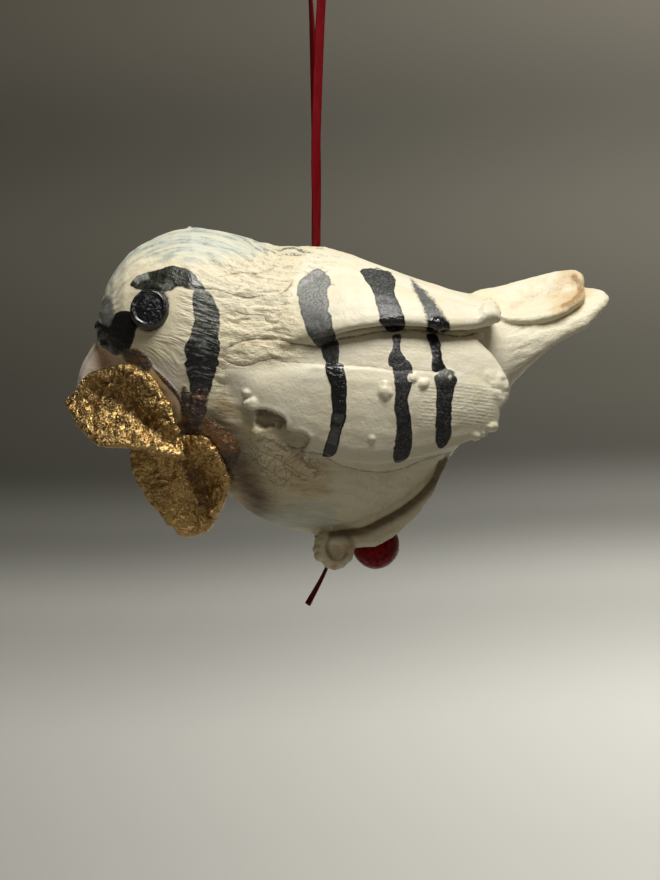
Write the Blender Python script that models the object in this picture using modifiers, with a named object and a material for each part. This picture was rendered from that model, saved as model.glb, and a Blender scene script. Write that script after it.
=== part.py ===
# Porcelain bird ornament that hangs on a cord, with two gilded leaves at its beak.
# Metres, +Z up. The beak points to -X and the bird's left side faces -Y.
# The origin is the top of the hanging loop.
# Figure points (x, z) and (x, y, z) are in figure units, a ninetieth of the bird's length.
# They are measured from the cord hole's mouth in the bird's back.
from math import cos, pi, sin, sqrt

import bmesh
import bpy
from mathutils import Vector

# Driving dimensions
BIRD_LENGTH = 0.090
LOOP_DROP = 0.0532
CORD_DIAMETER = 0.0010
CORD_TAIL = 0.0068
EYE_DIAMETER = 0.0064
EYE_SINK = 0.0012
BEAD_DIAMETER = 0.0080
LEG_THICKNESS = 0.0026
LEAF_THICKNESS = 0.0018
GAP = 0.0003

# Worked out from the driving dimensions
FIGURE_UNIT = BIRD_LENGTH / 90
STRAND_OFFSET = (CORD_DIAMETER + GAP) / 2
CORD_HOLE_DIAMETER = 2 * CORD_DIAMETER + 3 * GAP
CORD_POINT_SPACING = 2.9 * CORD_DIAMETER
BEAD_BORE_DIAMETER = CORD_DIAMETER + 2 * GAP
LEG_OFFSET = BEAD_DIAMETER / 2 + 2 * GAP + LEG_THICKNESS / 2

# Fullness of the body's sections: 2 is an ellipse
SECTION_POWER = 2.15
RING_SEGMENTS = 32
RINGS_PER_STATION = 2

# Stations of the body, from the face to the tail's tip: x, top, bottom, half width, roll.
# The roll leans a section down toward the bird's left side, for the twisted tail.
BODY_STATIONS = [
    (-36.4, -15.6, -16.4, 0.6, 0.0),
    (-36.0, -11.5, -17.3, 4.2, 0.0),
    (-34.6, -6.2, -19.0, 8.0, 0.0),
    (-31.0, -1.1, -25.4, 12.4, 0.0),
    (-26.0, 1.7, -30.6, 15.2, 0.0),
    (-20.0, 3.3, -36.8, 17.0, 0.0),
    (-13.0, 2.0, -43.0, 17.8, 0.0),
    (-6.0, 0.2, -46.4, 19.2, 0.0),
    (2.0, -0.1, -47.8, 20.6, 0.0),
    (10.0, -2.9, -45.4, 20.8, 0.0),
    (18.0, -5.8, -39.8, 18.6, 0.0),
    (25.0, -7.5, -31.2, 13.6, 0.05),
    (31.0, -8.0, -24.4, 9.2, 0.3),
    (38.0, -6.4, -17.3, 6.4, 0.65),
    (44.5, -6.5, -13.6, 4.2, 0.65),
    (48.0, -7.2, -10.2, 1.9, 0.5),
    (48.8, -8.3, -9.0, 0.4, 0.4),
]

# Stations of the shape that the wing slabs follow, a little outside the body
WING_STATIONS = [
    (-18.0, 2.6, -44.0, 19.0, 0.0),
    (-8.0, 0.8, -47.0, 20.6, 0.0),
    (2.0, 0.6, -49.0, 22.2, 0.0),
    (10.0, -1.8, -47.5, 22.6, 0.0),
    (18.0, -5.1, -44.0, 21.4, 0.0),
    (25.0, -8.0, -41.0, 18.6, 0.0),
    (34.0, -10.5, -38.0, 13.4, 0.0),
]

# Wing slabs, top to bottom: upper edge, lower edge, lift at the front and behind, thickness,
# and how much the upper edge sinks into the back
WING_SLABS = {
    "covert": (
        [(-8.6, -9.7), (0.7, -3.8), (9.2, -6.0), (18.4, -8.7), (26.7, -10.7), (29.3, -12.6)],
        [(-8.4, -18.3), (3.9, -16.0), (11.8, -14.9), (20.5, -15.6), (27.6, -15.4), (29.4, -13.9)],
        -4.0,
        0.4,
        2.3,
        2.2,
    ),
    "middle": (
        [(-9.0, -15.0), (9.0, -12.5), (21.4, -12.6), (27.0, -14.9), (30.2, -18.8), (31.7, -23.0)],
        [(-9.0, -23.5), (13.4, -25.0), (26.1, -27.1), (31.5, -26.2)],
        -3.0,
        -0.3,
        2.4,
        0.0,
    ),
    "lower": (
        [(-12.5, -22.1), (-2.4, -19.6), (8.8, -20.1), (19.1, -20.9), (27.3, -21.0), (30.9, -25.2)],
        [(-10.8, -30.0), (-4.3, -31.1), (-1.5, -34.0), (4.9, -36.6), (14.1, -36.4), (26.2, -32.8)]
        + [(30.3, -30.3)],
        -1.2,
        0.2,
        2.6,
        0.0,
    ),
}
SLAB_COLUMNS = 8
SLAB_ROWS = 3
SLAB_RISE = 3.6

# Upper tail slab: near edge and far edge of a shallow trough
TAIL_NEAR = [
    (27.0, -8.0, -12.2),
    (32.8, -6.8, -13.7),
    (38.0, -5.8, -13.0),
    (43.1, -4.2, -10.9),
    (45.0, -2.4, -8.4),
]
TAIL_FAR = [
    (25.0, 2.0, -8.4),
    (32.0, 4.4, -6.9),
    (38.5, 4.6, -4.8),
    (43.0, 3.6, -4.1),
    (45.4, 1.6, -4.6),
]
TAIL_TROUGH = 1.3
TAIL_DOWN = (0.0, 0.5, -0.86)
TAIL_COLUMNS = 8
TAIL_ROWS = 4
TAIL_SLAB_THICKNESS = 2.0

# Beak, as centres and radii down its hook
BEAK_PATH = [
    (-32.6, 0.0, -18.8),
    (-35.2, 0.0, -21.0),
    (-37.0, 0.0, -23.6),
    (-38.2, 0.0, -26.2),
    (-38.8, 0.0, -28.4),
]
BEAK_POINTS = 9
BEAK_RADII = [5.4, 4.3, 3.4, 2.5, 1.4]

# Legs are straps laid on edge along the belly: x, depth below its surface and half height
LEG_ROUTE = [
    (21.6, -1.2, 0.7),
    (19.4, 0.7, 0.9),
    (17.0, 1.25, 1.95),
    (14.0, 1.4, 2.3),
    (10.0, 1.8, 2.8),
    (7.0, 1.5, 2.5),
    (3.6, 1.0, 1.7),
]
LEG_RINGS = 10
LEG_SEGMENTS = 8
# Each leg ends in a small rolled-up foot
FOOT_PLACE = (3.1, -50.1)
FOOT_SEGMENTS = 12
# Half of a foot's roll, from its hollow end to its middle: reach across and radius
FOOT_PROFILE = [(1.7, 0.6), (2.6, 1.7), (2.6, 2.7), (1.7, 3.35), (0.0, 3.5)]
FOOT_DEPTH_TO_HEIGHT = 0.92

# Gilded leaves: upper edge, crease and lower edge of each
UPPER_LEAF = {
    "upper": [
        (-38.7, -6.0, -23.3),
        (-35.5, -9.0, -20.1),
        (-28.0, -13.2, -19.8),
        (-23.7, -14.6, -24.3),
        (-21.5, -14.0, -30.2),
        (-20.9, -12.4, -34.9),
    ],
    "crease": [
        (-40.3, -4.6, -25.2),
        (-34.5, -7.4, -24.8),
        (-29.2, -10.0, -27.9),
        (-24.7, -11.6, -30.9),
        (-20.8, -12.0, -35.2),
    ],
    "lower": [
        (-40.7, -4.8, -26.2),
        (-38.6, -6.8, -30.4),
        (-35.9, -9.2, -33.3),
        (-29.8, -12.4, -33.6),
        (-24.2, -13.4, -35.1),
        (-20.9, -12.4, -35.7),
    ],
}
LOWER_LEAF = {
    "upper": [
        (-20.2, -14.4, -31.8),
        (-16.9, -15.0, -32.6),
        (-14.1, -13.2, -37.0),
        (-14.4, -12.0, -40.6),
        (-16.3, -9.6, -44.4),
        (-19.6, -7.4, -47.8),
    ],
    "crease": [
        (-25.3, -10.0, -33.1),
        (-21.8, -9.2, -36.1),
        (-18.7, -8.4, -40.3),
        (-18.8, -7.6, -43.3),
        (-20.6, -6.6, -48.3),
    ],
    "lower": [
        (-30.8, -9.2, -33.1),
        (-30.3, -9.2, -37.1),
        (-27.5, -9.0, -41.6),
        (-23.9, -8.0, -46.1),
        (-21.9, -6.8, -48.3),
    ],
}
LEAF_COLUMNS = 8
LEAF_ROWS_PER_SIDE = 2

EYE_PLACE = (-26.3, -11.3)
BEAD_X = 10.0

# Cord, from its cut tail under the belly, over the loop and down to the bead
TAIL_DIRECTION = (-0.46, 0.0, -0.89)
TAIL_BEND = (0.0018, 0.0030)
TAIL_START = (0.0017, 0.0058)
BEAD_BEND = (0.0024, 0.0020)
LOOP_HALF_WIDTH = 0.0021
LOOP_SHOULDER = 0.0030
LOOP_NARROW_DROP = 0.0355
LOOP_SPREAD = 0.0009
LOOP_SPREAD_DROP = 0.0121

PORCELAIN = ("porcelain", (0.78, 0.72, 0.62), 0.45, 0.0)
BLACK_GLASS = ("black_glass", (0.01, 0.01, 0.012), 0.08, 0.0)
GOLD_LEAF = ("gold_leaf", (0.72, 0.50, 0.20), 0.32, 1.0)
RED_CORD = ("red_cord", (0.42, 0.01, 0.03), 0.5, 0.0)
RED_GLASS = ("red_glass", (0.30, 0.01, 0.03), 0.15, 0.0)


def figure(x, y, z):
    """Turns a figure point into metres in the part's frame."""
    return Vector((x * FIGURE_UNIT, y * FIGURE_UNIT, z * FIGURE_UNIT - LOOP_DROP))


def smooth_read(points, place):
    """Reads a smooth curve through the points, at a place from 0 to len(points) - 1."""
    index = min(int(place), len(points) - 2)
    t = place - index
    before, start, end, after = (
        points[min(max(index + step, 0), len(points) - 1)] for step in (-1, 0, 1, 2)
    )
    return tuple(
        0.5 * (2 * b + (c - a) * t + (2 * a - 5 * b + 4 * c - d) * t**2 + (3 * b - a - 3 * c + d) * t**3)
        for a, b, c, d in zip(before, start, end, after)
    )


def even_points(points, count, fine=24):
    """Reads count points at even spacing along the smooth curve through the points."""
    dense = [Vector(smooth_read(points, step / fine)) for step in range((len(points) - 1) * fine + 1)]
    lengths = [0.0]
    for first, second in zip(dense, dense[1:]):
        lengths.append(lengths[-1] + (second - first).length)
    found = []
    for step in range(count):
        target = lengths[-1] * step / (count - 1)
        index = max(i for i in range(len(dense) - 1) if lengths[i] <= target + 1e-12)
        span = lengths[index + 1] - lengths[index]
        share = (target - lengths[index]) / span if span else 0.0
        found.append(dense[index].lerp(dense[index + 1], min(share, 1.0)))
    return found


def station_at(stations, x):
    """Finds the station place whose section is at x."""
    low = 0.0
    high = float(len(stations) - 1)
    for _ in range(40):
        middle = (low + high) / 2
        if smooth_read(stations, middle)[0] < x:
            low = middle
        else:
            high = middle
    return low


def section_point(station, angle, lift):
    """A point of the section, at an angle from the +Y side over the top, lifted outward."""
    x, top, bottom, half_width, roll = station
    half_height = (top - bottom) / 2
    own_height = sqrt(max(half_height**2 - (roll * half_width) ** 2, 0.01))
    across = cos(angle)
    up = sin(angle)
    across = (1 if across > 0 else -1) * abs(across) ** (2 / SECTION_POWER)
    up = (1 if up > 0 else -1) * abs(up) ** (2 / SECTION_POWER)
    y = (half_width + lift) * across
    z = (top + bottom) / 2 + (own_height + lift) * up + roll * y
    return figure(x, y, z)


def side_point(stations, x, z, side, lift):
    """The point of a side of the shape at x and height z, lifted outward."""
    station = smooth_read(stations, station_at(stations, x))
    middle = (station[1] + station[2]) / 2
    half_height = (station[1] - station[2]) / 2
    share = min(max((z - middle) / half_height, -0.99), 0.99)
    up = (1 if share > 0 else -1) * abs(share) ** (SECTION_POWER / 2)
    across = sqrt(1 - up**2)
    y = side * (station[3] + lift) * across ** (2 / SECTION_POWER)
    lifted = middle + (half_height + lift) * share
    return figure(station[0], y, lifted)


def belly_height(x, y):
    """The height of the belly's underside, in figure units."""
    station = smooth_read(BODY_STATIONS, station_at(BODY_STATIONS, x))
    share = min(abs(y) / station[3], 0.99)
    drop = (1 - share**SECTION_POWER) ** (1 / SECTION_POWER)
    return (station[1] + station[2]) / 2 - (station[1] - station[2]) / 2 * drop


def material(finish):
    """Makes a Principled material from its name, colour, roughness and metallic value."""
    name, colour, roughness, metallic = finish
    made = bpy.data.materials.get(name) or bpy.data.materials.new(name)
    made.use_nodes = True
    shader = made.node_tree.nodes["Principled BSDF"]
    shader.inputs["Base Color"].default_value = (*colour, 1.0)
    shader.inputs["Roughness"].default_value = roughness
    shader.inputs["Metallic"].default_value = metallic
    return made


def collection(name):
    """Makes a collection in the scene."""
    made = bpy.data.collections.new(name)
    bpy.context.scene.collection.children.link(made)
    return made


def mesh_object(name, mesh, home, finish, smooth=True):
    """Makes an object of a bmesh or a mesh, in a collection, with its material."""
    if isinstance(mesh, bmesh.types.BMesh):
        bmesh.ops.recalc_face_normals(mesh, faces=mesh.faces)
        data = bpy.data.meshes.new(name)
        mesh.to_mesh(data)
        mesh.free()
    else:
        data = mesh
    made = bpy.data.objects.new(name, data)
    data.materials.clear()
    data.materials.append(material(finish))
    if smooth:
        data.shade_smooth()
    home.objects.link(made)
    return made


def as_guide(piece):
    """Marks an object as a shape that only joins or cuts another."""
    piece.hide_render = True
    piece.display_type = "WIRE"


def loft(rings):
    """Joins rings of points into a closed skin, with flat ends."""
    made = bmesh.new()
    loops = [[made.verts.new(point) for point in ring] for ring in rings]
    count = len(rings[0])
    for first, second in zip(loops, loops[1:]):
        for index in range(count):
            following = (index + 1) % count
            made.faces.new((first[index], first[following], second[following], second[index]))
    made.faces.new(loops[0])
    made.faces.new(loops[-1])
    return made


def body_skin(lift=0.0):
    """The body, head and lower tail as one skin through the body stations."""
    rings = []
    for step in range((len(BODY_STATIONS) - 1) * RINGS_PER_STATION + 1):
        station = smooth_read(BODY_STATIONS, step / RINGS_PER_STATION)
        angles = [2 * pi * index / RING_SEGMENTS for index in range(RING_SEGMENTS)]
        rings.append([section_point(station, angle, lift) for angle in angles])
    return loft(rings)


def sheet(grid):
    """An open surface from rows of points."""
    made = bmesh.new()
    rows = [[made.verts.new(point) for point in row] for row in grid]
    for first, second in zip(rows, rows[1:]):
        for index in range(len(first) - 1):
            made.faces.new((first[index], second[index], second[index + 1], first[index + 1]))
    return made


def thicken(piece, thickness, offset):
    """Gives a sheet its thickness and soft edges."""
    solidify = piece.modifiers.new("thickness", "SOLIDIFY")
    solidify.thickness = thickness
    solidify.offset = offset
    soften = piece.modifiers.new("soft_edges", "SUBSURF")
    soften.levels = 1
    soften.render_levels = 1


def wing_slab(name, side, home):
    """One slab of a wing, laid along the side between its upper and lower edges."""
    upper, lower, front_lift, lift, thickness, sink = WING_SLABS[name]
    upper_points = even_points(upper, SLAB_COLUMNS)
    lower_points = even_points(lower, SLAB_COLUMNS)
    grid = []
    for row in range(SLAB_ROWS + 1):
        points = []
        for column, (high, low) in enumerate(zip(upper_points, lower_points)):
            share = row / SLAB_ROWS
            place = low.lerp(high, share)
            rise = min(column / SLAB_RISE, 1.0)
            height = front_lift + (lift - front_lift) * sin(pi / 2 * rise) - sink * share**2
            points.append(side_point(WING_STATIONS, place.x, place.y, side, height))
        grid.append(points if side < 0 else points[::-1])
    made = mesh_object(f"{name}_{'left' if side < 0 else 'right'}", sheet(grid), home, PORCELAIN)
    thicken(made, thickness * FIGURE_UNIT, -1.0)
    as_guide(made)
    return made


def tail_slab(home):
    """The upper tail slab, a shallow trough that leans to the bird's left."""
    near = even_points(TAIL_NEAR, TAIL_COLUMNS)
    far = even_points(TAIL_FAR, TAIL_COLUMNS)
    grid = []
    for row in range(TAIL_ROWS + 1):
        share = row / TAIL_ROWS
        sag = TAIL_TROUGH * sin(pi * share) ** 2
        down = Vector(TAIL_DOWN) * sag
        grid.append([figure(*(a.lerp(b, share) + down)) for a, b in zip(near, far)])
    made = mesh_object("tail_upper", sheet(grid[::-1]), home, PORCELAIN)
    thicken(made, TAIL_SLAB_THICKNESS * FIGURE_UNIT, -1.0)
    as_guide(made)
    return made


def tube_mesh(name, points, radii):
    """A closed mesh of a round tube through the points."""
    curve = bpy.data.curves.new(name, "CURVE")
    curve.dimensions = "3D"
    curve.bevel_depth = 1.0
    curve.bevel_resolution = 2
    curve.use_fill_caps = True
    spline = curve.splines.new("POLY")
    spline.points.add(len(points) - 1)
    for target, point, radius in zip(spline.points, points, radii):
        target.co = (*point, 1.0)
        target.radius = radius
    holder = bpy.data.objects.new(name, curve)
    bpy.context.scene.collection.objects.link(holder)
    shape = holder.evaluated_get(bpy.context.evaluated_depsgraph_get())
    mesh = bpy.data.meshes.new_from_object(shape)
    bpy.data.objects.remove(holder)
    welded = bmesh.new()
    welded.from_mesh(mesh)
    bmesh.ops.remove_doubles(welded, verts=welded.verts, dist=1e-6)
    welded.to_mesh(mesh)
    welded.free()
    return mesh


def beak_mesh(name, growth=0.0):
    """The beak as a tapering hook."""
    centres = even_points([figure(*point) for point in BEAK_PATH], BEAK_POINTS)
    places = [step * (len(BEAK_RADII) - 1) / (BEAK_POINTS - 1) for step in range(BEAK_POINTS)]
    radii = [smooth_read([(value,) for value in BEAK_RADII], place)[0] for place in places]
    return tube_mesh(name, centres, [value * FIGURE_UNIT + growth for value in radii])


def leg(side, home):
    """A leg strap laid along the belly, and the rolled foot at its end."""
    y = side * LEG_OFFSET / FIGURE_UNIT
    hand = "left" if side < 0 else "right"
    route = [(x, belly_height(x, y) - depth, half_height) for x, depth, half_height in LEG_ROUTE]
    strap = even_points(route, LEG_RINGS)
    rings = []
    for index, (x, z, half_height) in enumerate(strap):
        before = strap[max(index - 1, 0)]
        after = strap[min(index + 1, LEG_RINGS - 1)]
        across = Vector((before.y - after.y, 0.0, after.x - before.x)).normalized() * half_height
        ring = []
        for step in range(LEG_SEGMENTS):
            angle = 2 * pi * step / LEG_SEGMENTS
            reach = LEG_THICKNESS / FIGURE_UNIT / 2 * cos(angle)
            ring.append(figure(*(Vector((x, y + reach, z)) + across * sin(angle))))
        rings.append(ring)
    as_guide(mesh_object(f"leg_{hand}", loft(rings), home, PORCELAIN))

    x, z = FOOT_PLACE
    half = [(-reach, radius) for reach, radius in FOOT_PROFILE]
    rings = []
    for reach, radius in half + [(-reach, radius) for reach, radius in half[-2::-1]]:
        ring = []
        for step in range(FOOT_SEGMENTS):
            angle = 2 * pi * step / FOOT_SEGMENTS
            across = FOOT_DEPTH_TO_HEIGHT * radius * cos(angle)
            ring.append(figure(x + across, y + reach, z + radius * sin(angle)))
        rings.append(ring)
    as_guide(mesh_object(f"foot_{hand}", loft(rings), home, PORCELAIN))


def cylinder(name, start, end, diameter, home, finish, segments=24):
    """A closed cylinder from one point to another."""
    made = bmesh.new()
    axis = end - start
    turn = axis.to_track_quat("Z", "Y").to_matrix().to_4x4()
    turn.translation = (start + end) / 2
    bmesh.ops.create_cone(
        made,
        cap_ends=True,
        segments=segments,
        radius1=diameter / 2,
        radius2=diameter / 2,
        depth=axis.length,
        matrix=turn,
    )
    return mesh_object(name, made, home, finish)


def ball(name, centre, diameter, home, finish, segments=14, rings=9):
    """A ball with its origin at its centre."""
    made = bmesh.new()
    bmesh.ops.create_uvsphere(made, u_segments=segments, v_segments=rings, radius=diameter / 2)
    piece = mesh_object(name, made, home, finish)
    piece.location = centre
    return piece


def eye_centre(side):
    """The eye's centre, sunk into the side of the head."""
    x, z = EYE_PLACE
    surface = side_point(BODY_STATIONS, x, z, side, 0.0)
    return surface - Vector((0.0, side, 0.0)) * EYE_SINK


def bead_centre():
    """The bead's centre, just under the belly."""
    top = figure(BEAD_X, 0.0, belly_height(BEAD_X, 0.0))
    return top - Vector((0.0, 0.0, GAP + BEAD_DIAMETER / 2))


def boolean(piece, operation, other):
    """Joins or cuts a piece with all the shapes of a collection, or with one object."""
    step = piece.modifiers.new(operation.lower(), "BOOLEAN")
    step.operation = operation
    step.solver = "EXACT"
    if isinstance(other, bpy.types.Collection):
        step.operand_type = "COLLECTION"
        step.collection = other
    else:
        step.object = other


def bird(home, joined, cutters):
    """The bird, one fired piece: body, beak, wing slabs, tail slab and legs."""
    made = mesh_object("bird", body_skin(), home, PORCELAIN)
    beak = mesh_object("beak", beak_mesh("beak"), joined, PORCELAIN)
    as_guide(beak)
    for side in (-1, 1):
        for name in WING_SLABS:
            wing_slab(name, side, joined)
        leg(side, joined)
    tail_slab(joined)
    boolean(made, "UNION", joined)

    clear = Vector((0.0, 0.0, 2 * CORD_HOLE_DIAMETER))
    above = figure(0.0, 0.0, 0.0) + clear
    below = figure(0.0, 0.0, belly_height(0.0, 0.0)) - clear
    as_guide(cylinder("cord_hole", below, above, CORD_HOLE_DIAMETER, cutters, PORCELAIN))
    for side in (-1, 1):
        name = "socket_left" if side < 0 else "socket_right"
        as_guide(ball(name, eye_centre(side), EYE_DIAMETER + 2 * GAP, cutters, PORCELAIN))
    boolean(made, "DIFFERENCE", cutters)
    return made


def leaf(name, edges, home, clearance):
    """A gilded leaf, a creased sheet cut back where the bird is behind it."""
    outer, crease, inner = (even_points(edges[key], LEAF_COLUMNS) for key in ("upper", "crease", "lower"))
    rows = [
        [a.lerp(b, step / LEAF_ROWS_PER_SIDE) for a, b in zip(inner, crease)]
        for step in range(LEAF_ROWS_PER_SIDE)
    ]
    rows += [
        [a.lerp(b, step / LEAF_ROWS_PER_SIDE) for a, b in zip(crease, outer)]
        for step in range(LEAF_ROWS_PER_SIDE + 1)
    ]
    grid = [[figure(*point) for point in row] for row in rows]
    made = mesh_object(name, sheet(grid), home, GOLD_LEAF)
    thicken(made, LEAF_THICKNESS, -1.0)
    for shape in clearance:
        boolean(made, "DIFFERENCE", shape)
    return made


def bead(home, cutters):
    """The red bead that stops the cord under the belly, with its bore."""
    centre = bead_centre()
    made = ball("stopper_bead", centre, BEAD_DIAMETER, home, RED_GLASS, 16, 10)
    reach = Vector((BEAD_DIAMETER, 0.0, 0.0))
    bore = cylinder("bead_bore", centre - reach, centre + reach, BEAD_BORE_DIAMETER, cutters, RED_GLASS, 10)
    as_guide(bore)
    boolean(made, "DIFFERENCE", bore)
    return made


def cord_route():
    """The cord's route: cut tail, bird, loop, bird again, bead."""
    mouth = figure(0.0, 0.0, 0.0)
    belly = figure(0.0, 0.0, belly_height(0.0, 0.0))
    centre = bead_centre()
    aside = Vector((0.0, STRAND_OFFSET, 0.0))
    bend = belly + aside + Vector((TAIL_BEND[0], 0.0, -TAIL_BEND[1]))
    tail_start = belly + aside + Vector((TAIL_START[0], 0.0, -TAIL_START[1]))
    tail_end = tail_start + Vector(TAIL_DIRECTION).normalized() * CORD_TAIL
    halfway = (mouth + belly) / 2
    narrow = Vector((0.0, 0.0, -LOOP_NARROW_DROP))
    spread = Vector((LOOP_SPREAD, 0.0, 0.0))
    middle = Vector((0.0, 0.0, -LOOP_SPREAD_DROP))
    shoulder = Vector((LOOP_HALF_WIDTH, 0.0, 0.0))
    level = Vector((0.0, 0.0, -LOOP_SHOULDER))
    bead_reach = Vector((BEAD_DIAMETER / 2 + CORD_DIAMETER, 0.0, 0.0))
    bead_end = Vector((BEAD_DIAMETER / 2 - CORD_DIAMETER, 0.0, 0.0))
    return [
        tail_end,
        tail_start,
        bend,
        belly + aside,
        halfway + aside,
        mouth + aside,
        narrow + aside,
        middle - spread,
        level - shoulder,
        Vector((0.0, 0.0, 0.0)),
        level + shoulder,
        middle + spread,
        narrow - aside,
        mouth - aside,
        halfway - aside,
        belly - aside,
        belly - aside + Vector((BEAD_BEND[0], 0.0, -BEAD_BEND[1])),
        centre - bead_reach,
        centre + bead_end,
    ]


def cord(home):
    """The cord, one round tube on even points of its smooth route."""
    route = cord_route()
    length = sum((second - first).length for first, second in zip(route, route[1:]))
    points = even_points(route, round(length / CORD_POINT_SPACING) + 1)
    curve = bpy.data.curves.new("cord", "CURVE")
    curve.dimensions = "3D"
    curve.bevel_depth = CORD_DIAMETER / 2
    curve.bevel_resolution = 2
    curve.use_fill_caps = True
    spline = curve.splines.new("POLY")
    spline.points.add(len(points) - 1)
    for target, point in zip(spline.points, points):
        target.co = (*point, 1.0)
    curve.materials.append(material(RED_CORD))
    made = bpy.data.objects.new("cord", curve)
    home.objects.link(made)
    return made


def main():
    for old in list(bpy.data.objects):
        bpy.data.objects.remove(old)
    home = collection("porcelain_bird_ornament")
    joined = collection("joined_to_bird")
    bird_cutters = collection("bird_cutters")
    other_cutters = collection("other_cutters")

    bird(home, joined, bird_cutters)
    for side in (-1, 1):
        name = "eye_left" if side < 0 else "eye_right"
        ball(name, eye_centre(side), EYE_DIAMETER, home, BLACK_GLASS)

    body_clearance = mesh_object("body_clearance", body_skin(GAP / FIGURE_UNIT), other_cutters, PORCELAIN)
    as_guide(body_clearance)
    beak_clearance = mesh_object("beak_clearance", beak_mesh("beak_clearance", GAP), other_cutters, PORCELAIN)
    as_guide(beak_clearance)
    leaf("gilded_leaf_upper", UPPER_LEAF, home, [body_clearance, beak_clearance])
    leaf("gilded_leaf_lower", LOWER_LEAF, home, [body_clearance, beak_clearance])

    bead(home, other_cutters)
    cord(home)


main()
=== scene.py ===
"""Looks of the hanging porcelain bird ornament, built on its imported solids.

Measures are metres in the part's frame unless a name says mm. The side drawing used for the
painted and scratched details is the bird's left side seen square on from 0.4 m away: u runs
toward the tail and v runs down, both in sixths of a millimetre at the bird's middle plane.
"""
import logging
import math
from dataclasses import dataclass, field
from enum import Enum
from typing import Sequence

import bmesh
import bpy
import numpy as np
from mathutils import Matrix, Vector


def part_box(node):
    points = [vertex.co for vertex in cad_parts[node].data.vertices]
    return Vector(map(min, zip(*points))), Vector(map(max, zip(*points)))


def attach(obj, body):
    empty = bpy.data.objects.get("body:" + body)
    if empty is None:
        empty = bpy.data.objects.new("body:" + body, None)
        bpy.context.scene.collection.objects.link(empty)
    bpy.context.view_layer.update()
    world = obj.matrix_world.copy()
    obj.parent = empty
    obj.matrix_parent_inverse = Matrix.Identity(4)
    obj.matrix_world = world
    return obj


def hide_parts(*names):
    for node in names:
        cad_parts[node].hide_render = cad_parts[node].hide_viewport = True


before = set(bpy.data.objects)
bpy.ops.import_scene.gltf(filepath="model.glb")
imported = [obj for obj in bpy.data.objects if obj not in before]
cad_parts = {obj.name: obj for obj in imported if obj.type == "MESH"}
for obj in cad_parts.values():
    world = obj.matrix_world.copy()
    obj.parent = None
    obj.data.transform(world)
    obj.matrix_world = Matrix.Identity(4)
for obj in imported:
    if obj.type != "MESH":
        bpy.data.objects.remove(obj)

LOG = logging.getLogger("porcelain_bird")
MM = 0.001
DRAWING_UNIT = 6.0
VIEW_DISTANCE_MM = 400.0
VIEW_CENTRE_MM = (14 / 6, -512 / 6)
IMAGE_SIZE = (660, 880)
# How far from an outline the side drawing is read, in its own units
REACH = 30.0
Points = np.ndarray
Colour = tuple[float, float, float]
Line = Sequence[tuple[float, float]]


# Shader expressions


class Value:
    """A shader socket that carries one number and can be used in sums."""

    def __init__(self, shade: "Shade", socket: bpy.types.NodeSocket) -> None:
        """Keeps the socket and the tree it belongs to."""
        self.shade = shade
        self.socket = socket

    def _math(self, operation: str, *terms: "float | Value", clamp: bool = False) -> "Value":
        """Adds one Math node.

        Args:
            operation: the Math node's operation.
            terms: its inputs, numbers or values.
            clamp: whether the result is kept from 0 to 1.

        Returns:
            The node's result.
        """
        inputs = dict(enumerate(terms))
        node = self.shade.node("ShaderNodeMath", {"operation": operation, "use_clamp": clamp}, inputs)
        return Value(self.shade, node.outputs[0])

    def __add__(self, other: "float | Value") -> "Value":
        """self + other."""
        return self._math("ADD", self, other)

    def __radd__(self, other: float) -> "Value":
        """other + self."""
        return self._math("ADD", other, self)

    def __sub__(self, other: "float | Value") -> "Value":
        """self - other."""
        return self._math("SUBTRACT", self, other)

    def __rsub__(self, other: float) -> "Value":
        """other - self."""
        return self._math("SUBTRACT", other, self)

    def __mul__(self, other: "float | Value") -> "Value":
        """self * other."""
        return self._math("MULTIPLY", self, other)

    def __rmul__(self, other: float) -> "Value":
        """other * self."""
        return self._math("MULTIPLY", other, self)

    def __truediv__(self, other: "float | Value") -> "Value":
        """self / other."""
        return self._math("DIVIDE", self, other)

    def __rtruediv__(self, other: float) -> "Value":
        """other / self."""
        return self._math("DIVIDE", other, self)

    def sine(self) -> "Value":
        """The sine of the value."""
        return self._math("SINE", self)

    def size(self) -> "Value":
        """The value without its sign."""
        return self._math("ABSOLUTE", self)

    def clamped(self) -> "Value":
        """The value kept from 0 to 1."""
        return self._math("ADD", self, 0.0, clamp=True)

    def larger(self, other: "float | Value") -> "Value":
        """The larger of two values."""
        return self._math("MAXIMUM", self, other)

    def ramp(self, low: float, high: float) -> "Value":
        """Rises smoothly from 0 at low to 1 at high.

        Args:
            low: the value where the result is 0.
            high: the value where the result is 1. It may be the smaller one.

        Returns:
            The eased value.
        """
        node = self.shade.node(
            "ShaderNodeMapRange",
            {"interpolation_type": "SMOOTHSTEP", "clamp": True},
            {"Value": self, "From Min": low, "From Max": high, "To Min": 0.0, "To Max": 1.0},
        )
        return Value(self.shade, node.outputs["Result"])


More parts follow.
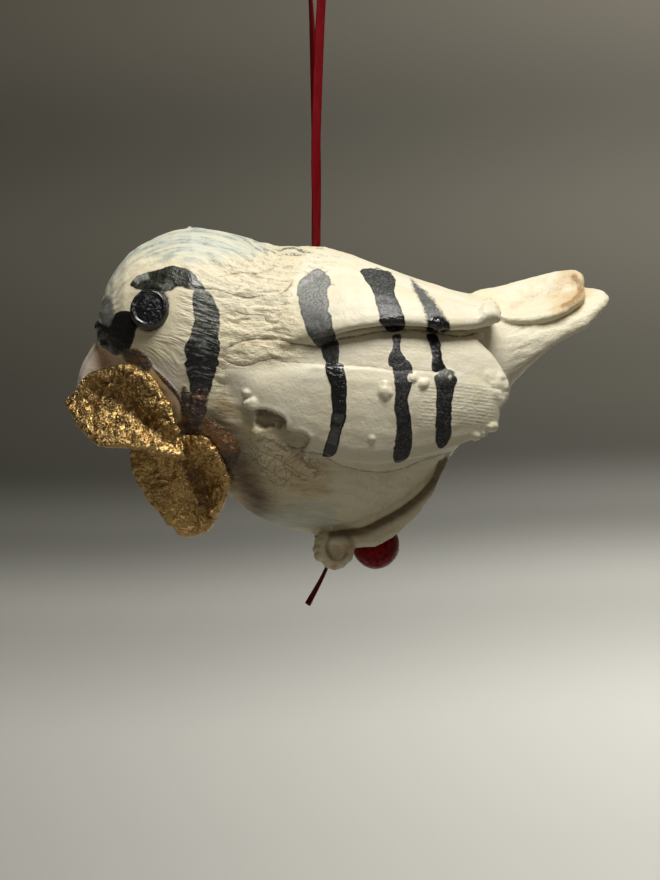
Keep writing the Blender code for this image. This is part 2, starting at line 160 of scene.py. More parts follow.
class Shade:
    """One material's node tree, with its Principled shader."""

    def __init__(self, name: str) -> None:
        """Starts an empty material.

        Args:
            name: the material's name.
        """
        self.material = bpy.data.materials.new(name)
        self.material.use_nodes = True
        self.tree = self.material.node_tree
        self.tree.nodes.clear()
        output = self.node("ShaderNodeOutputMaterial")
        self.shader = self.node("ShaderNodeBsdfPrincipled")
        self.tree.links.new(self.shader.outputs[0], output.inputs["Surface"])

    def node(self, kind: str, settings: dict | None = None, inputs: dict | None = None) -> bpy.types.Node:
        """Adds a node.

        Args:
            kind: the node's type.
            settings: its own settings, set first. "stops" fills a colour ramp.
            inputs: the values or links of its sockets.

        Returns:
            The node.
        """
        made = self.tree.nodes.new(kind)
        for key, setting in (settings or {}).items():
            if key == "stops":
                self._fill_ramp(made.color_ramp, setting)
            else:
                setattr(made, key, setting)
        for key, given in (inputs or {}).items():
            self.feed(made.inputs[key], given)
        return made

    @staticmethod
    def _fill_ramp(ramp: bpy.types.ColorRamp, stops: Sequence[tuple[float, Colour]]) -> None:
        """Sets a colour ramp's stops.

        Args:
            ramp: the ramp.
            stops: the place and colour of each, from low to high.
        """
        while len(ramp.elements) > 1:
            ramp.elements.remove(ramp.elements[-1])
        ramp.elements[0].position = stops[0][0]
        ramp.elements[0].color = (*stops[0][1], 1.0)
        for place, colour in stops[1:]:
            ramp.elements.new(place).color = (*colour, 1.0)

    def feed(self, socket: bpy.types.NodeSocket, given: object) -> None:
        """Sets or links one input.

        Args:
            socket: the input.
            given: a number, a tuple, a socket or a Value.
        """
        if isinstance(given, Value):
            self.tree.links.new(given.socket, socket)
        elif isinstance(given, bpy.types.NodeSocket):
            self.tree.links.new(given, socket)
        elif isinstance(given, tuple) and socket.type == "RGBA":
            socket.default_value = (*given[:3], 1.0)
        else:
            socket.default_value = given

    def attribute(self, name: str) -> Value:
        """A number kept on the mesh's points."""
        node = self.node("ShaderNodeAttribute", {"attribute_name": name, "attribute_type": "GEOMETRY"})
        return Value(self, node.outputs["Fac"])

    def direction(self, name: str) -> bpy.types.NodeSocket:
        """A vector kept on the mesh's points as three numbers."""
        parts = {axis: self.attribute(f"{name}_{letter}") for axis, letter in enumerate("xyz")}
        return self.node("ShaderNodeCombineXYZ", {}, parts).outputs[0]

    def stretched(self, vector: object, scale: tuple[float, float, float]) -> bpy.types.NodeSocket:
        """A vector times a scale on each axis."""
        return self.vector_math("MULTIPLY", vector, scale).outputs[0]

    def vector_math(self, operation: str, first: object, second: object) -> bpy.types.Node:
        """Adds a Vector Math node."""
        return self.node("ShaderNodeVectorMath", {"operation": operation}, {0: first, 1: second})

    def place_mm(
        self, stretch: tuple[float, float, float] = (1, 1, 1), turn: tuple[float, float, float] = (0, 0, 0)
    ) -> bpy.types.NodeSocket:
        """The point's place in millimetres.

        Args:
            stretch: the scale on each axis after the turn.
            turn: a turn in degrees.

        Returns:
            A vector socket.
        """
        place = self.node("ShaderNodeTexCoord").outputs["Object"]
        angles = tuple(math.radians(angle) for angle in turn)
        inputs = {"Vector": place, "Rotation": angles}
        turned = self.node("ShaderNodeMapping", {"vector_type": "POINT"}, inputs)
        return self.stretched(turned.outputs[0], tuple(value / MM for value in stretch))

    def noise(
        self, place: object, scale: float, detail: float = 3.0, rough: float = 0.5, warp: float = 0.0
    ) -> Value:
        """Cloudy noise from 0 to 1.

        Args:
            place: the vector to read it at.
            scale: its scale.
            detail: its octaves.
            rough: how strong the finer octaves are.
            warp: its distortion.

        Returns:
            The noise.
        """
        node = self.node(
            "ShaderNodeTexNoise",
            {"noise_dimensions": "3D"},
            {"Vector": place, "Scale": scale, "Detail": detail, "Roughness": rough, "Distortion": warp},
        )
        return Value(self, node.outputs[0])

    def cells(self, place: object, scale: float, output: str = "Distance") -> Value:
        """Cells around scattered points.

        Args:
            place: the vector to read it at.
            scale: the scale of the scatter.
            output: which output is read.

        Returns:
            The chosen output as a number.
        """
        node = self.node("ShaderNodeTexVoronoi", {"feature": "F1"}, {"Vector": place, "Scale": scale})
        return Value(self, node.outputs[output])

    def mix(self, share: "float | Value", first: object, second: object) -> bpy.types.NodeSocket:
        """Mixes two colours.

        Args:
            share: how much of the second.
            first: a colour or a colour socket.
            second: a colour or a colour socket.

        Returns:
            The mixed colour's socket.
        """
        node = self.node("ShaderNodeMix", {"data_type": "RGBA", "blend_type": "MIX"})
        self.feed(node.inputs[0], share)
        self.feed(node.inputs[6], first)
        self.feed(node.inputs[7], second)
        return node.outputs[2]

    def relief(self, height: Value, depth: float) -> bpy.types.NodeSocket:
        """Adds a Bump node.

        Args:
            height: the relief, about 0 to 1.
            depth: how far 1 stands out, in metres.

        Returns:
            The normal's socket.
        """
        node = self.node("ShaderNodeBump", {}, {"Height": height, "Distance": depth, "Strength": 1.0})
        return node.outputs[0]

    def finish(self, **sockets: object) -> bpy.types.Material:
        """Feeds the shader's sockets by their names with spaces as underscores.

        Args:
            sockets: the values or links.

        Returns:
            The material.
        """
        for name, given in sockets.items():
            self.feed(self.shader.inputs[name.replace("_", " ")], given)
        return self.material


# Shapes in numbers


@dataclass(frozen=True)
class Grain:
    """Repeatable cloudy noise at points, from -1 to 1."""

    seed: int

    def _corner(self, lattice: Points) -> Points:
        """Scatters numbers over the corners of a lattice.

        Args:
            lattice: the corners as whole numbers, one row each.

        Returns:
            A number from -1 to 1 for each corner.
        """
        a, b, c = (lattice[:, axis].astype(np.uint64) for axis in range(3))
        mixed = a * np.uint64(73856093) ^ b * np.uint64(19349663) ^ c * np.uint64(83492791)
        mixed ^= np.uint64(self.seed * 2654435761 % 2**32)
        mixed = (mixed ^ (mixed >> np.uint64(13))) * np.uint64(1274126177)
        mixed = (mixed ^ (mixed >> np.uint64(16))) & np.uint64(0xFFFF)
        return mixed.astype(float) / 32767.5 - 1.0

    def at(self, points: Points) -> Points:
        """Reads the noise.

        Args:
            points: places, one row each, in noise cells.

        Returns:
            One value for each place.
        """
        base = np.floor(points)
        part = points - base
        part = part**3 * (part * (part * 6 - 15) + 10)
        base = base.astype(np.int64) + 4096
        total = np.zeros(len(points))
        for x in (0, 1):
            for y in (0, 1):
                for z in (0, 1):
                    corner = np.array([x, y, z])
                    total += np.abs(1 - corner - part).prod(1) * self._corner(base + corner)
        return total

    def layered(self, points: Points, octaves: int = 3, fade: float = 0.5) -> Points:
        """Sums octaves of the noise.

        Args:
            points: places in cells of the coarsest octave.
            octaves: how many.
            fade: each octave's strength against the one before.

        Returns:
            One value for each place.
        """
        total = np.zeros(len(points))
        strength = 1.0
        for octave in range(octaves):
            total += strength * self.at(points * 2**octave + 17.3 * octave)
            strength *= fade
        return total

    def folds(self, points: Points, octaves: int = 2, fade: float = 0.5) -> Points:
        """Sharp creases between rounded folds.

        Args:
            points: places in cells of the coarsest octave.
            octaves: how many.
            fade: each octave's strength against the one before.

        Returns:
            One value for each place, from 0 in a crease to 1.
        """
        total = np.zeros(len(points))
        strength = 1.0
        whole = 0.0
        for octave in range(octaves):
            total += strength * np.abs(self.at(points * 2**octave + 31.7 * octave))
            whole += strength
            strength *= fade
        return np.clip(total / whole * 1.8, 0, 1)


def ease(values: Points, low: float, high: float) -> Points:
    """Rises smoothly from 0 at low to 1 at high."""
    t = np.clip((values - low) / (high - low), 0, 1)
    return t * t * (3 - 2 * t)


def line_distance(places: Points, line: Line, closed: bool = False) -> Points:
    """Distance from each place to a broken line.

    Args:
        places: (u, v) rows.
        line: its points.
        closed: whether it runs back to its start.

    Returns:
        One distance for each place.
    """
    points = np.array(line, float)
    if closed:
        points = np.vstack([points, points[:1]])
    best = np.full(len(places), 1e9)
    for start, end in zip(points, points[1:]):
        run = end - start
        share = np.clip(((places - start) @ run) / max(run @ run, 1e-9), 0, 1)
        gap = places - start - share[:, None] * run
        best = np.minimum(best, np.einsum("ij,ij->i", gap, gap))
    return np.sqrt(best)


def rounded(line: Line, steps: int = 4, closed: bool = True) -> np.ndarray:
    """Runs a smooth curve through the points of a line.

    Args:
        line: its points.
        steps: how many points each span gives.
        closed: whether it runs back to its start.

    Returns:
        The curve's points.
    """
    points = np.array(line, float)
    count = len(points)
    spans = count if closed else count - 1
    found = []
    for index in range(spans):
        if closed:
            a, b, c, d = (points[(index + step) % count] for step in (-1, 0, 1, 2))
        else:
            a, b, c, d = (points[min(max(index + step, 0), count - 1)] for step in (-1, 0, 1, 2))
        for step in range(steps):
            t = step / steps
            bend = (2 * a - 5 * b + 4 * c - d) * t**2 + (3 * b - a - 3 * c + d) * t**3
            found.append(0.5 * (2 * b + (c - a) * t + bend))
    if not closed:
        found.append(points[-1])
    return np.array(found)


def patch_distance(places: Points, outline: Line) -> Points:
    """Distance to a patch's rounded edge, positive inside.

    Args:
        places: (u, v) rows.
        outline: the patch's corners.

    Returns:
        One signed distance for each place.
    """
    edge = rounded(outline)
    low, high = edge.min(0) - REACH, edge.max(0) + REACH
    near = ((places > low) & (places < high)).all(1)
    signed = np.full(len(places), -REACH)
    close = places[near]
    inside = np.zeros(len(close), bool)
    for (x0, y0), (x1, y1) in zip(edge, np.roll(edge, -1, 0)):
        if y0 != y1:
            crosses = (close[:, 1] > min(y0, y1)) & (close[:, 1] <= max(y0, y1))
            inside ^= crosses & (close[:, 0] < x0 + (close[:, 1] - y0) * (x1 - x0) / (y1 - y0))
    gap = line_distance(close, edge, True)
    signed[near] = np.where(inside, gap, -gap)
    return signed


def side_gap(places: Points, line: Line) -> Points:
    """Distance to a broken line, positive on the side that faces down where it runs toward the tail.

    Args:
        places: (u, v) rows.
        line: its points.

    Returns:
        One signed distance for each place.
    """
    points = np.array(line, float)
    low, high = points.min(0) - REACH, points.max(0) + REACH
    near = ((places > low) & (places < high)).all(1)
    close = places[near]
    best = np.full(len(close), REACH**2)
    sign = np.ones(len(close))
    for start, end in zip(points, points[1:]):
        run = end - start
        share = np.clip(((close - start) @ run) / max(run @ run, 1e-9), 0, 1)
        gap = close - start - share[:, None] * run
        square = np.einsum("ij,ij->i", gap, gap)
        side = run[0] * (close[:, 1] - start[1]) - run[1] * (close[:, 0] - start[0])
        closer = square < best
        best = np.where(closer, square, best)
        sign = np.where(closer, np.where(side < 0, -1.0, 1.0), sign)
    signed = np.full(len(places), REACH)
    signed[near] = np.sqrt(best) * sign
    return signed


def side_drawing(points_mm: Points) -> Points:
    """Where points fall on the side drawing.

    Args:
        points_mm: places in the part's frame, in millimetres. Both sides of the bird are read alike.

    Returns:
        (u, v) rows.
    """
    spread = DRAWING_UNIT * VIEW_DISTANCE_MM / (VIEW_DISTANCE_MM - np.abs(points_mm[:, 1]))
    u = IMAGE_SIZE[0] / 2 + (points_mm[:, 0] - VIEW_CENTRE_MM[0]) * spread
    v = IMAGE_SIZE[1] / 2 - (points_mm[:, 2] - VIEW_CENTRE_MM[1]) * spread
    return np.stack([u, v], 1)


@dataclass
class Skin:
    """A mesh as arrays in millimetres, ready to be worked like clay."""

    points: Points
    faces: np.ndarray

    @classmethod
    def of_node(cls, node: str, cell_mm: float) -> "Skin":
        """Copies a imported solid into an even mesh.

        Args:
            node: the solid's name.
            cell_mm: the size of its new faces.

        Returns:
            The skin.
        """
        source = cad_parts[node]
        mesh = source.data.copy()
        work = bmesh.new()
        work.from_mesh(mesh)
        bmesh.ops.scale(work, vec=(1 / MM,) * 3, verts=work.verts)
        bmesh.ops.remove_doubles(work, verts=work.verts, dist=1e-3)
        work.to_mesh(mesh)
        work.free()
        holder = bpy.data.objects.new("work_" + node, mesh)
        bpy.context.scene.collection.objects.link(holder)
        step = holder.modifiers.new("even", "REMESH")
        step.mode = "VOXEL"
        step.voxel_size = cell_mm
        step.adaptivity = 0.0
        done = holder.evaluated_get(bpy.context.evaluated_depsgraph_get())
        even = bpy.data.meshes.new_from_object(done)
        points = np.zeros(len(even.vertices) * 3)
        even.vertices.foreach_get("co", points)
        corners = np.zeros(len(even.loops), np.int64)
        even.loops.foreach_get("vertex_index", corners)
        bpy.data.objects.remove(holder)
        bpy.data.meshes.remove(mesh)
        bpy.data.meshes.remove(even)
        return cls(points.reshape(-1, 3), corners.reshape(-1, 4))

    def edges(self) -> np.ndarray:
        """Finds the edges.

        Returns:
            Each edge once, as two point numbers.
        """
        sides = np.vstack([self.faces[:, [i, (i + 1) % 4]] for i in range(4)])
        sides.sort(axis=1)
        return np.unique(sides, axis=0)

    def spread(self, values: Points, edges: np.ndarray) -> Points:
        """The mean of each point's neighbours.

        Args:
            values: one row for each point.
            edges: the skin's edges.

        Returns:
            One mean row for each point.
        """
        count = len(self.points)
        first, second = edges[:, 0], edges[:, 1]
        number = np.bincount(first, minlength=count) + np.bincount(second, minlength=count)
        if values.ndim == 1:
            total = np.bincount(first, values[second], count) + np.bincount(second, values[first], count)
            return total / number
        return np.stack([self.spread(values[:, axis], edges) for axis in range(values.shape[1])], 1)

    def soften(
        self, edges: np.ndarray, rounds: int, share: "float | Points" = 1.0, pulls: tuple = (0.55, -0.57)
    ) -> None:
        """Smooths the skin.

        Args:
            edges: the skin's edges.
            rounds: how many passes.
            share: how strongly, for all points or one for each.
            pulls: the steps of a pass. A pull inward followed by a push outward keeps the broad shape.
        """
        share = np.broadcast_to(np.asarray(share, float), (len(self.points),))[:, None]
        for _ in range(rounds):
            for pull in pulls:
                self.points = self.points + share * pull * (self.spread(self.points, edges) - self.points)

    def normals(self) -> Points:
        """Works out which way the points face.

        Returns:
            An outward unit vector for each point.
        """
        corners = self.points[self.faces]
        across = np.cross(corners[:, 2] - corners[:, 0], corners[:, 3] - corners[:, 1])
        total = np.zeros_like(self.points)
        for corner in range(4):
            for axis in range(3):
                total[:, axis] += np.bincount(self.faces[:, corner], across[:, axis], len(self.points))
        return total / np.maximum(np.linalg.norm(total, axis=1, keepdims=True), 1e-12)

    def hollowness(self, edges: np.ndarray, rounds: int = 3) -> Points:
        """Works out how far each point lies in a hollow.

        Args:
            edges: the skin's edges.
            rounds: how many neighbours away it looks.

        Returns:
            Millimetres below the mean of the neighbours, negative on a ridge.
        """
        mean = self.points
        for _ in range(rounds):
            mean = self.spread(mean, edges)
        return np.einsum("ij,ij->i", mean - self.points, self.normals())


def dressed_mesh(
    name: str,
    skin: Skin,
    material: bpy.types.Material,
    facts: dict[str, Points] | None = None,
    chosen: np.ndarray | None = None,
    normals: Points | None = None,
) -> bpy.types.Object:
    """Makes an object of a skin or of some of its faces.

    Args:
        name: the object's name.
        skin: the shape.
        material: its finish.
        facts: numbers kept on its points.
        chosen: which faces, or all.
        normals: the points' normals where faces are left out.

    Returns:
        The object, smooth shaded.
    """
    faces = skin.faces if chosen is None else skin.faces[chosen]
    used, corners = np.unique(faces, return_inverse=True)
    mesh = bpy.data.meshes.new(name)
    mesh.vertices.add(len(used))
    mesh.vertices.foreach_set("co", (skin.points[used] * MM).ravel())
    mesh.loops.add(faces.size)
    mesh.loops.foreach_set("vertex_index", corners.ravel().astype(np.int32))
    mesh.polygons.add(len(faces))
    mesh.polygons.foreach_set("loop_start", np.arange(0, faces.size, 4, dtype=np.int32))
    mesh.update(calc_edges=True)
    mesh.shade_smooth()
    if normals is not None:
        mesh.normals_split_custom_set_from_vertices(normals[used])
    for key, numbers in (facts or {}).items():
        kept = mesh.attributes.new(key, "FLOAT", "POINT")
        kept.data.foreach_set("value", numbers[used].astype(np.float32))
    mesh.materials.append(material)
    made = bpy.data.objects.new(name, mesh)
    bpy.context.scene.collection.objects.link(made)
    return made


def grid_object(
    name: str, rows: Points, material: bpy.types.Material, around: bool = True, caps: bool = True
) -> bpy.types.Object:
    """Makes an object of rows of points.

    Args:
        name: the object's name.
        rows: points as (row, column, xyz), in metres.
        material: its finish.
        around: whether each row is a closed ring.
        caps: whether the first and last ring are filled.

    Returns:
        The object, smooth shaded.
    """
    made = bmesh.new()
    loops = [[made.verts.new(point) for point in row] for row in rows]
    count = len(loops[0])
    for first, second in zip(loops, loops[1:]):
        for index in range(count if around else count - 1):
            after = (index + 1) % count
            made.faces.new((first[index], first[after], second[after], second[index]))
    if around and caps:
        made.faces.new(loops[0])
        made.faces.new(loops[-1])
    bmesh.ops.recalc_face_normals(made, faces=made.faces)
    mesh = bpy.data.meshes.new(name)
    made.to_mesh(mesh)
    made.free()
    mesh.shade_smooth()
    mesh.materials.append(material)
    piece = bpy.data.objects.new(name, mesh)
    bpy.context.scene.collection.objects.link(piece)
    return piece


def stand_in(piece: bpy.types.Object, node: str) -> None:
    """Puts a piece in place of a solid.

    Args:
        piece: the piece.
        node: the solid's name.
    """
    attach(piece, "root")
    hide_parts(node)
    LOG.info("%s: %d faces", piece.name, len(piece.data.polygons))


# Finishes


@dataclass(frozen=True)
class Porcelain:
    """Ivory hand-worked porcelain with black stripes, stains and glue, and painted shade and light in its
    colour.
    """

    ivory: Colour = (0.82, 0.73, 0.49)
    white: Colour = (0.86, 0.81, 0.64)
    ochre: Colour = (0.66, 0.44, 0.17)
    crease: Colour = (0.38, 0.23, 0.08)
    stain_and_lip_shade: Colour = (0.36, 0.185, 0.05)
    painted_shade: Colour = (0.105, 0.058, 0.024)
    grey: Colour = (0.20, 0.205, 0.20)
    olive: Colour = (0.055, 0.062, 0.040)
    black: Colour = (0.010, 0.011, 0.012)
    sea: Colour = (0.50, 0.57, 0.52)
    slate: Colour = (0.13, 0.17, 0.16)
    glue: Colour = (0.030, 0.011, 0.006)
    amber: Colour = (0.40, 0.150, 0.016)
    salmon: Colour = (0.62, 0.27, 0.15)
    pink_and_painted_light: Colour = (0.92, 0.80, 0.72)
    crack_and_shadow_line: Colour = (0.25, 0.135, 0.045)
    scratch: Colour = (0.16, 0.10, 0.045)
    veil: Colour = (0.66, 0.66, 0.60)
    spark: Colour = (0.62, 0.64, 0.64)

    def build(self) -> bpy.types.Material:
        """Makes the material.

        Returns:
            The material.
        """
        s = Shade("porcelain_painted")
        place = s.place_mm()
        flow = s.direction("flow")
        noises = {
            "clouds": s.noise(place, 0.17, 4.0, 0.55),
            "slip": s.noise(place, 1.0, 4.0, 0.6, 0.4),
            "specks": s.noise(place, 2.6, 3.0, 0.6),
            "grain": s.noise(place, 5.0, 2.0, 0.6),
            "smears": s.noise(s.stretched(flow, (0.26, 1.0, 0.6)), 1.25, 5.0, 0.62, 0.3),
            "strokes": s.noise(s.stretched(flow, (0.13, 1.0, 0.4)), 3.8, 3.0, 0.55),
        }
        lines = self._lines(s, place, flow, noises)
        specks, grain = noises["specks"], noises["grain"]
        paint = s.attribute("paint") + (specks - 0.5) * 0.7 + (grain - 0.5) * 0.6
        paint = paint.ramp(-0.3, 0.3)
        glue = s.attribute("glue") + (specks - 0.5) * 1.6 + (noises["slip"] - 0.5) * 1.4
        glue = glue.ramp(-0.2, 0.6)
        colour = self._clay(s, flow, noises, lines)
        colour = s.mix(paint, colour, self._paint(s, place, noises, lines))
        depth = (s.attribute("amber") + (noises["smears"] - 0.5) * 3.2).clamped()
        resin = s.mix(depth, self.glue, self.amber)
        colour = s.mix(glue * (0.95 - s.attribute("amber") * 0.15), colour, resin)
        wet = glue.larger(s.attribute("gloss"))
        rough = 0.50 + (grain - 0.5) * 0.25 + (noises["clouds"] - 0.5) * 0.3
        rough = (rough * (1.0 - paint * 0.25) * (1.0 - wet * 0.80)).clamped()
        return s.finish(
            Base_Color=colour,
            Roughness=rough,
            Coat_Weight=(wet * 0.9).clamped(),
            Coat_Roughness=0.07,
            Normal=self._relief(s, place, noises, lines, wet, glue, paint),
            IOR=1.5,
        )

    def _lines(self, s: Shade, place: object, flow: object, noises: dict[str, Value]) -> dict[str, Value]:
        """Thin lines in the clay, each from 0 to 1.

        Args:
            s: the material's shade.
            place: the point's place.
            flow: the direction that the clay was smeared in.
            noises: the material's noises.

        Returns:
            Drawn cracks and painted shadow lines, small cracks, hair scratches, the ridges by the eye and the
            combed lines.
        """
        specks, grain = noises["specks"], noises["grain"]
        gap = (s.attribute("crack_and_shadow_line") + (specks - 0.5) * 3.0 + (grain - 0.5) * 1.2).size()
        drawn = gap.ramp(1.25, 0.1) * s.attribute("crack_deep")
        drawn = drawn * (noises["slip"].ramp(0.36, 0.56) * 0.7 + 0.3)
        split = s.noise(s.stretched(flow, (0.24, 1.0, 0.5)), 0.75, 4.0, 0.62, 0.5)
        small = (split - 0.5).size().ramp(0.016, 0.002) * noises["slip"].ramp(0.44, 0.60)
        small = small * s.attribute("torn")
        hair = None
        for turn in (34.0, -28.0, 68.0):
            place_turned = s.place_mm((0.06, 1.0, 1.0), (0.0, turn, 0.0))
            thread = s.noise(place_turned, 0.62, 1.0, 0.4, 0.1)
            one = (thread - 0.5).size().ramp(0.020, 0.004)
            hair = one if hair is None else hair.larger(one)
        hair = hair * s.attribute("hair") * specks.ramp(0.25, 0.45)
        along = Value(s, s.node("ShaderNodeSeparateXYZ", {}, {0: flow}).outputs[0])
        fan_place = s.node("ShaderNodeCombineXYZ", {}, {0: s.attribute("fan"), 1: along * 0.34, 2: 0.0})
        fan = s.noise(fan_place.outputs[0], 1.0, 2.0, 0.45).ramp(0.30, 0.70)
        waver = (s.noise(place, 0.5, 2.0) - 0.5) * 2.6
        comb = (s.attribute("comb") * 2 * math.pi + waver).sine() * 0.5 + 0.5
        comb = comb * noises["slip"].ramp(0.30, 0.62)
        return {"drawn": drawn, "small": small, "hair": hair, "fan": fan, "comb": comb}

    def _clay(
        self, s: Shade, flow: object, noises: dict[str, Value], lines: dict[str, Value]
    ) -> bpy.types.NodeSocket:
        """The bare clay's colour, with painted shade and painted light.

        Args:
            s: the material's shade.
            flow: the direction that the clay was smeared in.
            noises: the material's noises.
            lines: the thin lines.

        Returns:
            The colour's socket.
        """
        clouds, specks, smears = noises["clouds"], noises["specks"], noises["smears"]
        pale = (clouds * 1.5 - 0.35 + s.attribute("slab") * 0.45 + (noises["slip"] - 0.5) * 0.9).clamped()
        colour = s.mix(pale, self.ivory, self.white)
        # Ochre: stains, and painted shade on the breast and along the neck.
        warm = s.attribute("ochre_stain_and_shade") + (clouds - 0.5) * 1.5 + (smears - 0.5) * 1.4
        colour = s.mix(warm.ramp(0.35, 1.35) * 0.62, colour, self.ochre)
        streaks = s.noise(s.stretched(flow, (0.10, 1.0, 0.4)), 1.7, 3.0, 0.6)
        sea = (s.attribute("sea") + (streaks - 0.5) * 2.4).ramp(0.30, 1.30)
        colour = s.mix(sea * 0.80, colour, self.sea)
        dirt = streaks.ramp(0.53, 0.64) * specks.ramp(0.36, 0.58) * s.attribute("dirt")
        colour = s.mix((dirt * 0.85).clamped(), colour, self.slate)
        # Darker brown in the hollows and the torn pocket: partly stain settled there, partly painted shade.
        hollow = s.attribute("hollow") + (specks - 0.5) * 0.9 + (0.5 - smears) * 2.2 * s.attribute("torn")
        colour = s.mix(hollow.ramp(0.30, 1.30) * 0.42, colour, self.crease)
        # Dark cracks, and painted shadow lines under the lips of the covert and the lowest slab.
        colour = s.mix(lines["drawn"] * 0.80, colour, self.crack_and_shadow_line)
        colour = s.mix(lines["small"] * 0.30, colour, self.crease)
        colour = s.mix(lines["hair"] * 0.62, colour, self.scratch)
        # Pale pink at the beak and beside the upper leaf: the clay's own pink, made paler as painted light
        # where those places fall in shade.
        colour = s.mix(s.attribute("pink_and_painted_light") * (0.25 + smears * 0.9).clamped(), colour, self.pink_and_painted_light)
        # Brown stains, and a painted shadow line under the covert's lip.
        stain_and_lip_shade = (s.attribute("stain_and_lip_shade") * (0.55 + (noises["slip"] - 0.35) * 2.2)).ramp(0.10, 1.0)
        colour = s.mix(stain_and_lip_shade * 0.85, colour, self.stain_and_lip_shade)
        # Painted shade: dark brown in the crevice above the foot straps, in the foot's curl, in and under the
        # torn pocket and down the throat.
        painted_shade = (s.attribute("painted_shade") * (0.60 + smears * 0.8)).clamped()
        colour = s.mix(painted_shade * 0.86, colour, self.painted_shade)
        salmon = (s.attribute("salmon") + (specks - 0.5) * 0.9).ramp(0.15, 1.0)
        return s.mix(salmon * 0.9, colour, self.salmon)

    def _paint(
        self, s: Shade, place: object, noises: dict[str, Value], lines: dict[str, Value]
    ) -> bpy.types.NodeSocket:
        """The colour of the black and grey paint.

        Args:
            s: the material's shade.
            place: the point's place.
            noises: the material's noises.
            lines: the thin lines.

        Returns:
            The colour's socket.
        """
        tone, thin = s.attribute("tone"), 1.0 - s.attribute("tone")
        dust = (s.cells(place, 4.2, "Color") - 0.5) * 1.7 + (noises["specks"] - 0.5) * 1.4
        ridges = (lines["fan"] - 0.4) * s.attribute("fan_deep") * 1.1
        dark = (tone * 1.15 + dust * (thin * 0.9 + 0.16) + ridges).ramp(0.0, 1.0)
        colour = s.mix(dark, self.grey, self.black)
        green = s.attribute("olive") * (noises["slip"] + (noises["grain"] - 0.5) * 0.8).ramp(0.36, 0.62)
        colour = s.mix(green, colour, self.olive)
        veil = (thin + dust * 0.55 - ridges * 0.35).ramp(0.50, 1.35) * 0.62
        colour = s.mix(veil, colour, self.veil)
        seed = s.cells(place, 2.4, "Color")
        glint = s.cells(place, 2.4).ramp(0.16, 0.08) * seed.ramp(0.58, 0.66) * s.attribute("glitter")
        return s.mix(glint, colour, self.spark)

    def _relief(
        self,
        s: Shade,
        place: object,
        noises: dict[str, Value],
        lines: dict[str, Value],
        wet: Value,
        glue: Value,
        paint: Value,
    ) -> bpy.types.NodeSocket:
        """The fine relief, in millimetres.

        Args:
            s: the material's shade.
            place: the point's place.
            noises: the material's noises.
            lines: the thin lines.
            wet: where the surface shines.
            glue: where glue lies on it.
            paint: where it's painted.

        Returns:
            The normal's socket.
        """
        brush, rough = s.attribute("brush"), s.attribute("rough")
        height = noises["smears"] * brush * 0.27 + noises["strokes"] * brush * 0.055
        height = height + noises["slip"] * (rough * 0.26 + 0.035) + noises["specks"] * rough * 0.07
        height = height + noises["grain"] * (0.012 + paint * 0.03)
        height = height - lines["drawn"] * 0.20 - lines["small"] * 0.10 - lines["hair"] * 0.05
        height = height + lines["fan"] * s.attribute("fan_deep") * 0.10
        height = height + lines["comb"] * s.attribute("comb_deep") * 0.036
        wrinkles = s.noise(place, 1.5, 3.0, 0.55, 0.8)
        return s.relief(height * (1.0 - wet * 0.75) + wrinkles * (wet * 0.30 + glue * 0.65), MM)


@dataclass(frozen=True)
class GoldLeaf:
    """Crinkled gold leaf over a darker ground."""

    bright: Colour = (0.84, 0.62, 0.29)
    deep: Colour = (0.56, 0.33, 0.095)
    ground: Colour = (0.085, 0.032, 0.012)

    def build(self) -> bpy.types.Material:
        """Makes the material.

        Returns:
            The material.
        """
        s = Shade("gold_leaf_crinkled")
        place = s.place_mm()
        warp = s.node("ShaderNodeTexNoise", {}, {"Vector": place, "Scale": 1.1, "Detail": 3.0})
        shift = s.stretched(warp.outputs["Color"], (1.5, 1.5, 1.5))
        moved = s.vector_math("ADD", place, shift).outputs[0]
        height = self._facets(s, moved, 0.55) * 0.46 + self._facets(s, moved, 1.5) * 0.44
        height = height + self._facets(s, moved, 3.6) * 0.34
        height = height + (s.noise(moved, 0.9, 4.0, 0.6, 0.6) - 0.5).size() * 0.40
        small = s.noise(place, 5.0, 3.0, 0.6)
        stains = s.noise(place, 0.8, 4.0, 0.65)
        # Painted shade: the leaf's shaded part, its crease and the foil's hollows are made darker and show more
        # of the dark ground.
        shade = s.attribute("shade") + s.attribute("hollow") * 0.30 + (stains - 0.5) * 1.1
        wear_and_shade = (s.noise(place, 2.2, 4.0, 0.7) + (shade - 0.4) * 0.12).ramp(0.54, 0.68)
        colour = s.mix((small * 1.2 - 0.1 + (stains - 0.5) - shade * 0.10).clamped(), self.deep, self.bright)
        colour = s.mix(wear_and_shade * 0.80, colour, self.ground)
        rough = (0.235 + (small - 0.5) * 0.3 + wear_and_shade * 0.2).clamped()
        return s.finish(
            Base_Color=colour,
            Metallic=(0.97 - wear_and_shade * 0.55).clamped(),
            Roughness=rough,
            Normal=s.relief(height + small * 0.05, MM),
        )

    @staticmethod
    def _facets(s: Shade, place: bpy.types.NodeSocket, scale: float) -> Value:
        """Small flat facets, each tilted its own way.

        Args:
            s: the material's shade.
            place: the place in millimetres.
            scale: facets to a millimetre.

        Returns:
            Their height in millimetres for a steep tilt.
        """
        cell = s.node("ShaderNodeTexVoronoi", {"feature": "F1"}, {"Vector": place, "Scale": scale})
        offset = s.vector_math("SUBTRACT", place, cell.outputs["Position"])
        tilt = s.vector_math("SUBTRACT", cell.outputs["Color"], (0.5, 0.5, 0.5))
        dot = s.vector_math("DOT_PRODUCT", offset.outputs[0], tilt.outputs[0])
        return Value(s, dot.outputs["Value"])


